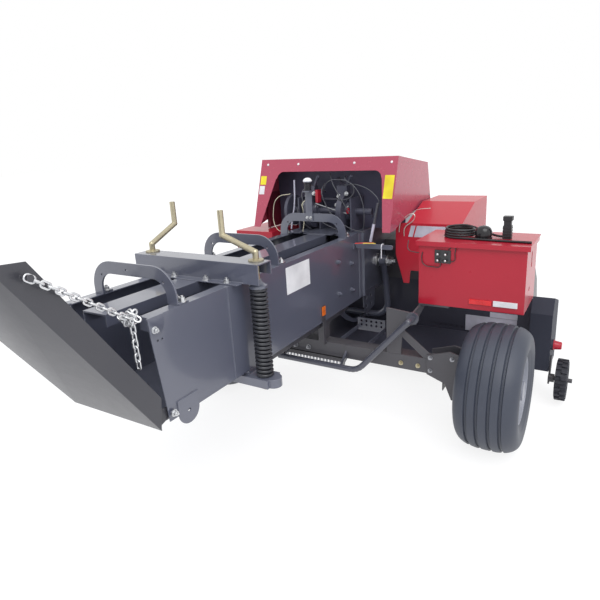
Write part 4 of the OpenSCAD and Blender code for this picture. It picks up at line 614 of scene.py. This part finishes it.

# Knotter hood: one folded sheet cover in red with a painted pink sky reflection, riveted along its top band and hinged
# at the front.
# Blank yellow and white stickers sit on the two legs of its rear opening.
red = painted("red_gloss", (0.46, 0.014, 0.034), (0.42, 0.012, 0.030), 0.30, 0.25, (0.50, 0.24, 0.24), 0.03, 0.02,
              gloss=0.3)
# The hood's red is pinker than the box's: a painted reflection of the bright sky on its faces.
sky_sheen_red = painted("red_painted_sky_sheen", (0.44, 0.072, 0.118), (0.41, 0.056, 0.098), 0.26, 0.35, (0.52, 0.28, 0.29), 0.02,
                    0.02, gloss=0.4)
rounded("hood", 0.0, sky_sheen_red)
dark = painted("dark_chassis_coat", (0.050, 0.049, 0.058), (0.074, 0.070, 0.078), 0.42, 0.2, (0.24, 0.22, 0.21), 0.16,
               0.16)
rounded("hood_stand", 0.0012, dark)
hood_foot_y, hood_foot_z, hood_top_y, hood_top_z = 1557.0, 975.0, 1700.0, 1395.0
lean = math.atan2(hood_top_z - hood_foot_z, hood_top_y - hood_foot_y)
face_out = Vector((0.0, -math.sin(lean), math.cos(lean)))


def on_face(x, z):
    """A point on the hood's leaning rear face at that height."""
    return Vector((x, hood_foot_y + (z - hood_foot_z) / math.tan(lean), z))


hood_rivets = [(*on_face(x, 1362.0), face_out, 16.0) for x in (-424.0, -191.0, 202.0, 440.0)]
fasteners("hood_rivets", "hood", hood_rivets, moulded("rivet_white", (0.75, 0.74, 0.74), 0.3, 60.0, 0.03), "rim_paint",
          rivet_tree, Rise=0.55)


def sheet(name, near, far, finish):
    """A thin sheet between its four near and its four far corners."""
    sides = [(3, 2, 1, 0), (4, 5, 6, 7), (0, 1, 5, 4), (1, 2, 6, 5), (2, 3, 7, 6), (3, 0, 4, 7)]
    mesh = bpy.data.meshes.new(name)
    mesh.from_pydata(near + far, [], sides)
    return add(name, mesh, finish)


def sticker(name, left, right, low, high, finish):
    glue, face = 0.15, 0.9
    corners = [on_face(left, low), on_face(right, low), on_face(right, high), on_face(left, high)]
    near = [place(*(c + face_out * glue)) for c in corners]
    far = [place(*(c + face_out * face)) for c in corners]
    piece = sheet(name, near, far, finish)
    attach(piece, "hood")


yellow = moulded("sticker_yellow", (0.70, 0.52, 0.015), 0.4, 80.0, 0.03)
white = moulded("sticker_white", (0.66, 0.66, 0.68), 0.4, 80.0, 0.03)
sticker("hood_sticker_right", 410.0, 468.0, 1160.0, 1290.0, yellow)
sticker("hood_sticker_left", -468.0, -424.0, 1238.0, 1292.0, yellow)
sticker("hood_sticker_left_low", -470.0, -430.0, 1178.0, 1230.0, white)

# Knotter: two cast tying heads on one shaft between side plates, with cams, tucker rods and twine guides.
# Grease lines, a pale twine tube and loose twine run before a dark blue sheet on the frame, which is painted shade
# standing in for the dark inside of the hood.
cast = painted("knotter_casting", (0.052, 0.053, 0.078), (0.082, 0.083, 0.118), 0.46, 0.15, (0.14, 0.13, 0.12), 0.2,
               0.4)
rounded("knotter", 0.0015, cast)


def wire(name, points, diameter, finish, body, soft=True):
    """A bent wire or pipe through points in machine millimetres."""
    curve = bpy.data.curves.new(name, "CURVE")
    curve.dimensions = "3D"
    curve.bevel_depth = diameter / 2000.0
    curve.bevel_resolution = 3
    curve.resolution_u = 10
    curve.use_fill_caps = True
    bend = curve.splines.new("BEZIER" if soft else "POLY")
    knots = bend.bezier_points if soft else bend.points
    knots.add(len(points) - 1)
    for knot, spot in zip(knots, points):
        if soft:
            knot.co = place(*spot)
            knot.handle_left_type = knot.handle_right_type = "AUTO"
        else:
            knot.co = (*place(*spot), 1.0)
    holder = bpy.data.objects.new(name + "_path", curve)
    scene.collection.objects.link(holder)
    mesh = bpy.data.meshes.new_from_object(holder.evaluated_get(bpy.context.evaluated_depsgraph_get()))
    bpy.data.objects.remove(holder)
    mesh.name = name
    mesh.shade_smooth()
    piece = add(name, mesh, finish)
    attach(piece, body)
    return piece


# A near-black coat that paints shade: it colours the pickup pan and the dark plates under the chamber.
shade_coat = painted("shaded_black_coat", (0.042, 0.043, 0.062), (0.058, 0.059, 0.082), 0.5, 0.1, (0.12, 0.12, 0.13),
                     0.06, 0.14, gloss=0.3)
# The dark blue sheet behind the knotter is painted shade: it fills the view through the hood where only shade is seen.
painted_shade_blue = painted("painted_shade_blue_coat", (0.080, 0.080, 0.125), (0.110, 0.110, 0.165), 0.5, 0.1, (0.12, 0.12, 0.13), 0.06,
                    0.14, gloss=0.3)
shade_sheet = blocks("knotter_shade_sheet", [
    ((-462, 1852, 949), (462, 1855, 1318)), ((-462, 1852, 946), (-235, 1870, 949.5)),
    ((-462, 1850, 1314), (462, 1872, 1318))], painted_shade_blue, 0.0008)
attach(shade_sheet, "frame")
# A darker red sheet inside the hood's left side: painted shade standing in for the shaded inner face of the red hood.
painted_shade_red = painted("painted_shade_red", (0.17, 0.014, 0.030), (0.12, 0.012, 0.026), 0.5, 0.1, (0.12, 0.10, 0.10), 0.05, 0.1,
                   gloss=0.3)
shaded_red_liner = blocks("knotter_shaded_red_liner", [
    ((-462, 1690, 946), (-459, 1852, 1180)), ((-462, 1690, 946), (-440, 1693, 1180))], painted_shade_red, 0.0008)
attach(shaded_red_liner, "frame")
grease = moulded("grease_line", (0.055, 0.056, 0.066), 0.3, 120.0, 0.05)
steel = bright("worn_steel", (0.42, 0.43, 0.46), (0.26, 0.26, 0.28), 0.36, 40.0)
lines = [
    [(-18, 1715, 1190), (-3, 1668, 1207), (40, 1650, 1255), (108, 1646, 1267), (180, 1650, 1252), (211, 1655, 1207),
     (184, 1650, 1160), (104, 1655, 1146), (60, 1715, 1150)],
    [(-20, 1715, 1240), (-8, 1650, 1193), (20, 1640, 1120), (63, 1636, 1059), (185, 1636, 977), (285, 1640, 955)],
    [(115, 1715, 1230), (247, 1656, 1232), (343, 1650, 1183), (374, 1650, 1131), (341, 1655, 1065), (300, 1700, 1040)],
    [(20, 1715, 1300), (70, 1655, 1240), (110, 1645, 1180), (170, 1650, 1080), (190, 1700, 1010)],
    [(-115, 1715, 1230), (-150, 1650, 1190), (-110, 1640, 1090), (-20, 1650, 1010), (90, 1665, 955)],
    [(130, 1715, 1280), (160, 1650, 1265), (215, 1645, 1230), (262, 1650, 1150), (268, 1665, 1010), (250, 1680, 955)],
    [(-170, 1715, 1140), (-190, 1650, 1080), (-150, 1645, 1000), (-110, 1670, 955)],
]
for i, points in enumerate(lines):
    wire("grease_line_%d" % i, points, 6.0, grease, "frame")
tube_lilac = moulded("tube_lilac", (0.46, 0.45, 0.53), 0.4, 60.0, 0.05)
wire("twine_tube", [(-262, 1672, 950), (-240, 1662, 1030), (-218, 1655, 1104), (-207, 1655, 1266)], 10.0, tube_lilac,
     "frame")
wire("lift_rod", [(318, 1640, 890), (323, 1640, 916), (372, 1640, 1132)], 16.0, grease, "frame",
     soft=False)
wire("lift_rod_sleeve", [(320, 1640, 901), (323, 1640, 916), (344, 1640, 1009)], 18.0, tube_lilac,
     "frame", soft=False)
wire("tucker_rod", [(-60, 1660, 1120), (60, 1660, 1085), (150, 1670, 1060)], 10.0, steel, "frame",
     soft=False)
cream = moulded("sisal_twine", (0.60, 0.54, 0.40), 0.75, 260.0, 0.6)
wire("twine_left", [(-226, 1560, 951), (-324, 1590, 965), (-347, 1602, 1080), (-314, 1612, 1159), (-240, 1650, 1180)],
     4.0, cream, "frame")
wire("twine_mid", [(-130, 1600, 949), (-130, 1620, 1006), (-133, 1622, 1082), (-138, 1624, 1120), (-115, 1690, 1150)],
     4.0, cream, "frame")
head_x, head_y, head_z = 115.0, 1700.0, 1068.0
head_bolts = [(side * head_x + dx, head_y, head_z + dz, BACK, 18.0)
              for side in (-1, 1) for dx, dz in ((-30, 95), (22, 110), (-48, 40), (34, 30), (-8, 60))]
fasteners("knotter_bolts", "frame", head_bolts, zinc_white, "galvanised")
tags = [((148, 1668, 1060), (170, 1722, 1094)), ((-74, 1680, 1122), (-54, 1722, 1202))]
tag = blocks("knotter_tags", tags, red, 0.002)
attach(tag, "frame")

# Needles and plunger: a tube yoke swings two curved needles up through the floor, and a box plunger slides inside.
# The yoke is slate like the chamber, its pins and nuts are bright, and the plunger is worn bare by straw.
for node, edge, finish in (("needle_yoke", 0.0, slate), ("yoke_pins", 0.0012, zinc_white), ("plunger", 0.002, steel)):
    rounded(node, edge, finish)
yoke_nuts = [(side * 314.0, 1930.0, 720.0, (side, 0, 0), 46.0) for side in (-1, 1)]
fasteners("yoke_nuts", "frame", yoke_nuts, zinc_white, "galvanised")

# Feeder and covers: a folded tunnel carries the crop in from the right under a red sheet cover, painted a brighter red
# than the box as painted light against the hood's shade.
# The cover has two bare grey bands on its rear panel and a bent wire latch; the tunnel is coated dark.
# The cover's red is a lighter copy of the box red: painted light that offsets the shade the hood casts on it.
cover_red_painted_light = painted("cover_red_painted_light", (0.51, 0.014, 0.034), (0.47, 0.012, 0.030), 0.34, 0.2, (0.50, 0.24, 0.24), 0.03, 0.02,
                    gloss=0.3)
rounded("feeder_cover", 0.0009, cover_red_painted_light)
rounded("left_shield", 0.0009, red)
rounded("feeder", 0.0009, dark)
rounded("twine_arm", 0.0012, slate)
band = moulded("band_grey", (0.40, 0.40, 0.46), 0.35, 80.0, 0.03)
band_back, band_face = 1799.9, 1799.0
for name, corners in (("cover_band_short", [(500, 911), (527, 911), (545, 980), (518, 980)]),
                      ("cover_band_long", [(536, 911), (790, 911), (790, 980), (554, 980)])):
    near = [place(x, band_back, z) for x, z in corners]
    far = [place(x, band_face, z) for x, z in corners]
    piece = sheet(name, near, far, band)
    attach(piece, "frame")

latch_wire = bright("latch_wire", (0.84, 0.82, 0.76), (0.66, 0.64, 0.60), 0.36, 60.0)
wire("cover_latch",
     [(441, 1799, 937), (446, 1794, 972), (454, 1793, 999), (473, 1793, 1024), (536, 1793, 1050), (542, 1793, 1032),
      (479, 1793, 963), (473, 1799, 914)],
     6.0, latch_wire, "frame")
wire("cover_stay", [(520, 1799, 1060), (560, 1795, 1078), (639, 1797, 1088)], 4.0, latch_wire, "frame")
wire("arm_twine_red", [(250, 1571, 899), (285, 1580, 901.5), (330, 1600, 901), (352, 1612, 900.5)], 6.0,
     moulded("twine_red", (0.55, 0.05, 0.04), 0.7, 260.0, 0.5), "frame")
wire("arm_twine_yellow", [(300, 1576, 901), (335, 1586, 901.5), (372, 1596, 901)], 6.0,
     moulded("twine_yellow", (0.66, 0.50, 0.10), 0.7, 260.0, 0.5), "frame")
wire("arm_twine_tie", [(420, 1600, 899), (421, 1569, 899), (420, 1568, 870), (418, 1570, 820)], 6.0,
     moulded("tie_white", (0.70, 0.71, 0.74), 0.6, 200.0, 0.3), "frame")

# Twine box: a folded red sheet box on its own stand, with a flat lid, a four-stud twine brake and wire guides.
# A red and a clear reflector are stuck low on its rear face.
for node in ("twine_box", "twine_lid"):
    rounded(node, 0.0009, red)
black = painted("black_coat", (0.014, 0.015, 0.018), (0.024, 0.025, 0.029), 0.34, 0.4, (0.16, 0.16, 0.16), 0.10, 0.10)
rounded("twine_brake", 0.0012, black)
box_left, box_width, box_foot, box_height = 728.0, 518.0, 655.0, 323.0
stud_x, stud_z = box_left + box_width * 0.24, box_foot + box_height * 0.8
studs = [(stud_x + i * 19.2, 1302.0, stud_z + j * 15.6, BACK, 13.0) for i in (-1, 1) for j in (-1, 1)]
fasteners("brake_studs", "frame", studs, zinc_white, "galvanised", rivet_tree, Rise=0.9)
guide_wire = painted("guide_wire", (0.020, 0.018, 0.020), (0.05, 0.035, 0.035), 0.3, 0.3, (0.2, 0.2, 0.2), 0.1, 0.1)
guide_y = 1322.0
wire("twine_guide_low",
     [(748, 1329, 930), (746, guide_y, 900), (758, guide_y, 868), (800, guide_y, 860), (842, guide_y, 866),
      (842, guide_y, 880), (826, guide_y, 900), (826, 1329, 906)],
     5.0, guide_wire, "frame")
wire("twine_guide_high",
     [(880, 1329, 950), (912, guide_y, 968), (914, guide_y, 930), (912, guide_y, 898), (890, guide_y, 892),
      (850, guide_y, 896), (850, 1329, 900)],
     5.0, guide_wire, "frame")
wire("twine_guide_side", [(640, 1418, 968), (661, 1360, 932), (704, 1330, 927), (729, 1329, 926)], 5.0, guide_wire,
     "frame")
clear_lens = moulded("clear_reflector", (0.62, 0.62, 0.63), 0.18, 300.0, 0.3)
red_lens = moulded("red_reflector", (0.56, 0.012, 0.016), 0.18, 300.0, 0.3)
amber_lens = moulded("amber_reflector", (0.62, 0.12, 0.008), 0.2, 300.0, 0.3)
for name, low, high, finish in (
        ("reflector_red", (989, 1324, 683), (1096, 1330.2, 708), red_lens),
        ("reflector_clear", (1104, 1324, 683), (1216, 1330.2, 711), clear_lens)):
    piece = blocks(name, [(low, high)], finish, 0.0015)
    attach(piece, "frame")

# Axle and stands: a square tube across the machine, a plate stand for the twine box and a bent guard tube.
# All are dark coated. Two axle bolts are yellow zinc and the clamp bolts plain steel; a toothed comb hangs under
# the axle, and an amber reflector stands on a strap.
tube_coat = painted("dark_tube_coat", (0.052, 0.055, 0.076), (0.068, 0.071, 0.094), 0.36, 0.5, (0.24, 0.24, 0.25), 0.12,
                    0.06, gloss=0.6)
for node, edge, finish in (("axle", 0.0015, dark), ("box_stand", 0.0015, dark), ("guard_tube", 0.0, tube_coat),
                           ("step_plate", 0.0008, tube_coat)):
    rounded(node, edge, finish)
fasteners("axle_bolts", "frame", [(x, 1200.0, 360.0, BACK, 16.0) for x in (680.0, 772.0)], yellow_zinc, "zinc")
clamp_bolts = [(x, 1200.0, 356.0, BACK, 19.0) for x in (30.0, 118.0, -180.0)]
clamp_bolts += [(x, 1190.0, z, BACK, 15.0) for x, z in ((840.0, 420.0), (840.0, 350.0), (950.0, 430.0))]
fasteners("clamp_bolts", "frame", clamp_bolts, steel, "bare_steel")
comb_teeth = [((x, 1203, 283), (x + 11, 1210.5, 297)) for x in range(-84, 336, 22)]
comb_plate = [((-92, 1206, 295), (346, 1211, 327.2)), ((-92, 1206, 318), (346, 1230, 327.2))]
for name, boxes, finish, slot in (("axle_comb_plate", comb_plate, dark, "dark_paint"),
                                  ("axle_comb_teeth", comb_teeth, steel, "bare_steel")):
    piece = blocks(name, boxes, finish, 0.0008)
    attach(piece, "frame")
strap = blocks("reflector_strap", [((235, 1158, 540), (238.5, 1198, 626)), ((235, 1172, 398), (238.5, 1200.4, 545))],
               dark, 0.0008)
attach(strap, "frame")
amber = blocks("side_reflector", [((238.5, 1160, 572), (243, 1196, 596)), ((238.5, 1160, 598), (243.5, 1196, 622))],
               amber_lens, 0.0012)
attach(amber, "frame")

# Wheels: ribbed implement tyres on pressed steel rims with a bolted hub.
# The rubber is dark blue-grey in uneven patches, and the rims are painted mid grey.
rubber_finish, t = new_finish("ribbed_rubber")
spot = t.put("ShaderNodeTexCoord", out=3)
broad = t.put("ShaderNodeTexNoise", None, {"Vector": spot, "Scale": 4.0, "Detail": 6.0, "Roughness": 0.6})
fine = t.put("ShaderNodeTexNoise", None, {"Vector": spot, "Scale": 240.0, "Detail": 3.0})
tint = t.blend((broad * 1.7 - 0.4).clip(), (0.038, 0.044, 0.063), (0.063, 0.071, 0.094))
relief = t.put("ShaderNodeBump", None, {"Strength": 0.25, "Distance": 0.0008, "Height": fine})
body = t.put("ShaderNodeBsdfPrincipled", None,
             {"Base Color": tint, "Roughness": (broad * 0.25 + 0.36), "Normal": relief})
t.put("ShaderNodeOutputMaterial", None, {0: body})
tyre_r, tyre_half, inner_share = 0.308, 0.144, 0.54
side_shares = [(0.536, 0.86), (0.57, 0.895), (0.60, 0.925), (0.622, 0.938), (0.632, 0.955), (0.66, 0.968),
               (0.70, 0.983), (0.74, 0.995), (0.78, 1.0)]
groove_mids, groove_half, groove_depth, half_rib = (-0.52, -0.18, 0.18, 0.52), 0.05, 0.012, 0.17
axle_y, axle_z = 1240.0, 308.0
wheels = (("right", 1152.0, 1), ("left", -530.0, -1))


def crown(share):
    """The tread's radius at a share of the half width."""
    return tyre_r * (0.78 + 0.22 * math.sqrt(1.0 - min(abs(share), 1.0) ** 3))


shoulder = [(crown(w), w) for w in (0.99, 0.97, 0.94, 0.90, 0.86, 0.81, 0.76, 0.70, 0.64)]
tread = [(r, -w) for r, w in shoulder]
for mid in groove_mids:
    edge = groove_half
    tread += [(crown(mid - edge) - 0.0006, mid - edge - 0.012), (crown(mid - edge) - 0.003, mid - edge),
              (crown(mid) - groove_depth, mid - edge * 0.62), (crown(mid) - groove_depth, mid + edge * 0.62),
              (crown(mid + edge) - 0.003, mid + edge), (crown(mid + edge) - 0.0006, mid + edge + 0.012)]
    tread += [(crown(mid + half_rib), mid + half_rib)] if mid < groove_mids[-1] else []
tread += reversed(shoulder)
outline = [(r * tyre_r, -w * tyre_half) for r, w in side_shares]
outline += [(r, w * tyre_half) for r, w in tread]
outline += [(r * tyre_r, w * tyre_half) for r, w in reversed(side_shares)]
outline += [(inner_share * tyre_r, 0.0), outline[0]]
for word, x, side in wheels:
    tyre = turned(word + "_tyre_ribbed", outline, place(x, axle_y, axle_z), (side, 0, 0), rubber_finish, segments=128)
    bm = bmesh.new()
    bm.from_mesh(tyre.data)
    bmesh.ops.remove_doubles(bm, verts=bm.verts, dist=1e-6)
    bmesh.ops.recalc_face_normals(bm, faces=bm.faces)
    bm.to_mesh(tyre.data)
    bm.free()
    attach(tyre, "wheel_" + word)
    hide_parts(word + "_tyre")
nut_face, nut_circle = 76.0, 102.0
rim_grey = painted("rim_grey", (0.30, 0.31, 0.36), (0.26, 0.27, 0.31), 0.4, 0.2, (0.35, 0.34, 0.32), 0.15, 0.12)
for word, x, side in wheels:
    rounded(word + "_rim", 0.001, rim_grey)
    nuts = []
    for k in range(6):
        a = math.radians(60 * k + 30)
        nuts.append((x + side * nut_face, axle_y + nut_circle * math.cos(a), axle_z + nut_circle * math.sin(a),
                     (side, 0, 0), 22.0))
    fasteners(word + "_wheel_nuts", "wheel_" + word, nuts, zinc_white, "galvanised")

# Pickup: a tined reel turns inside spring-steel bands between two end plates, under a rod windguard.
# The right end has a dark blue-black shield, a red grease cap and a small lugged gauge wheel. Thin dark plates close
# the underside between the axle and the pan: painted shade standing in for the shadow under the machine.
shield_coat = painted("shield_coat", (0.028, 0.031, 0.046), (0.038, 0.042, 0.060), 0.58, 0.0, (0.12, 0.12, 0.14), 0.05,
                      0.1, gloss=0.22)
rounded("pickup_shield", 0.0012, shield_coat)
# The pan wears the near-black shade coat, so its darkness is painted shade.
rounded("pickup_pan", 0.0, shade_coat)
under_pan_shade = blocks("painted_shade_under_pan",
              [((-232, 1610, 230), (900, 2100.2, 233)), ((-232, 1610, 230), (900, 1613, 250)),
               ((897, 1610, 230), (900, 2100.2, 262)), ((-232, 1610, 230), (-229, 2100.2, 262)),
               ((440, 2106, 112), (880, 2109, 320)), ((440, 2103.8, 112), (446, 2109, 320)),
               ((874, 2103.8, 112), (880, 2109, 320))], shade_coat, 0.0008)
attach(under_pan_shade, "frame")
pan_strips = blocks("pan_strips", [((790, 2096, 244), (1110, 2100.2, 352)), ((945, 2094, 354), (1112, 2100.2, 388))],
                    band, 0.0008)
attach(pan_strips, "frame")
for node, edge, finish in (("pickup_ends", 0.0012, dark), ("strippers", 0.0, dark), ("reel", 0.0, steel),
                           ("windguard", 0.0, dark), ("gauge_arm", 0.0012, dark)):
    rounded(node, edge, finish)
gauge_rubber = moulded("gauge_rubber", (0.014, 0.015, 0.022), 0.55, 200.0, 0.4)
rounded("gauge_wheel", 0.0012, gauge_rubber)
hub_cap = [(0.0, 0.0), (0.030, 0.0), (0.030, 0.004), (0.026, 0.006), (0.021, 0.040), (0.018, 0.043), (0.0, 0.043)]
grease_cap = turned("shield_grease_cap", hub_cap, place(1349.0, 1830.25, 330.0), RIGHT, red)
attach(grease_cap, "frame")

# Towing and drive: a swinging box drawbar on a pin, a screw jack, and the flywheel on the gearbox shaft.
# The drawbar, gearbox and flywheel are red; the jack is zinc plated and its foot stands on the ground.
rounded("frame_rails", 0.002, dark)
for node in ("drawbar", "gearbox", "flywheel"):
    rounded(node, 0.002, red)
for node in ("jack", "jack_leg"):
    rounded(node, 0.001, zinc_white)
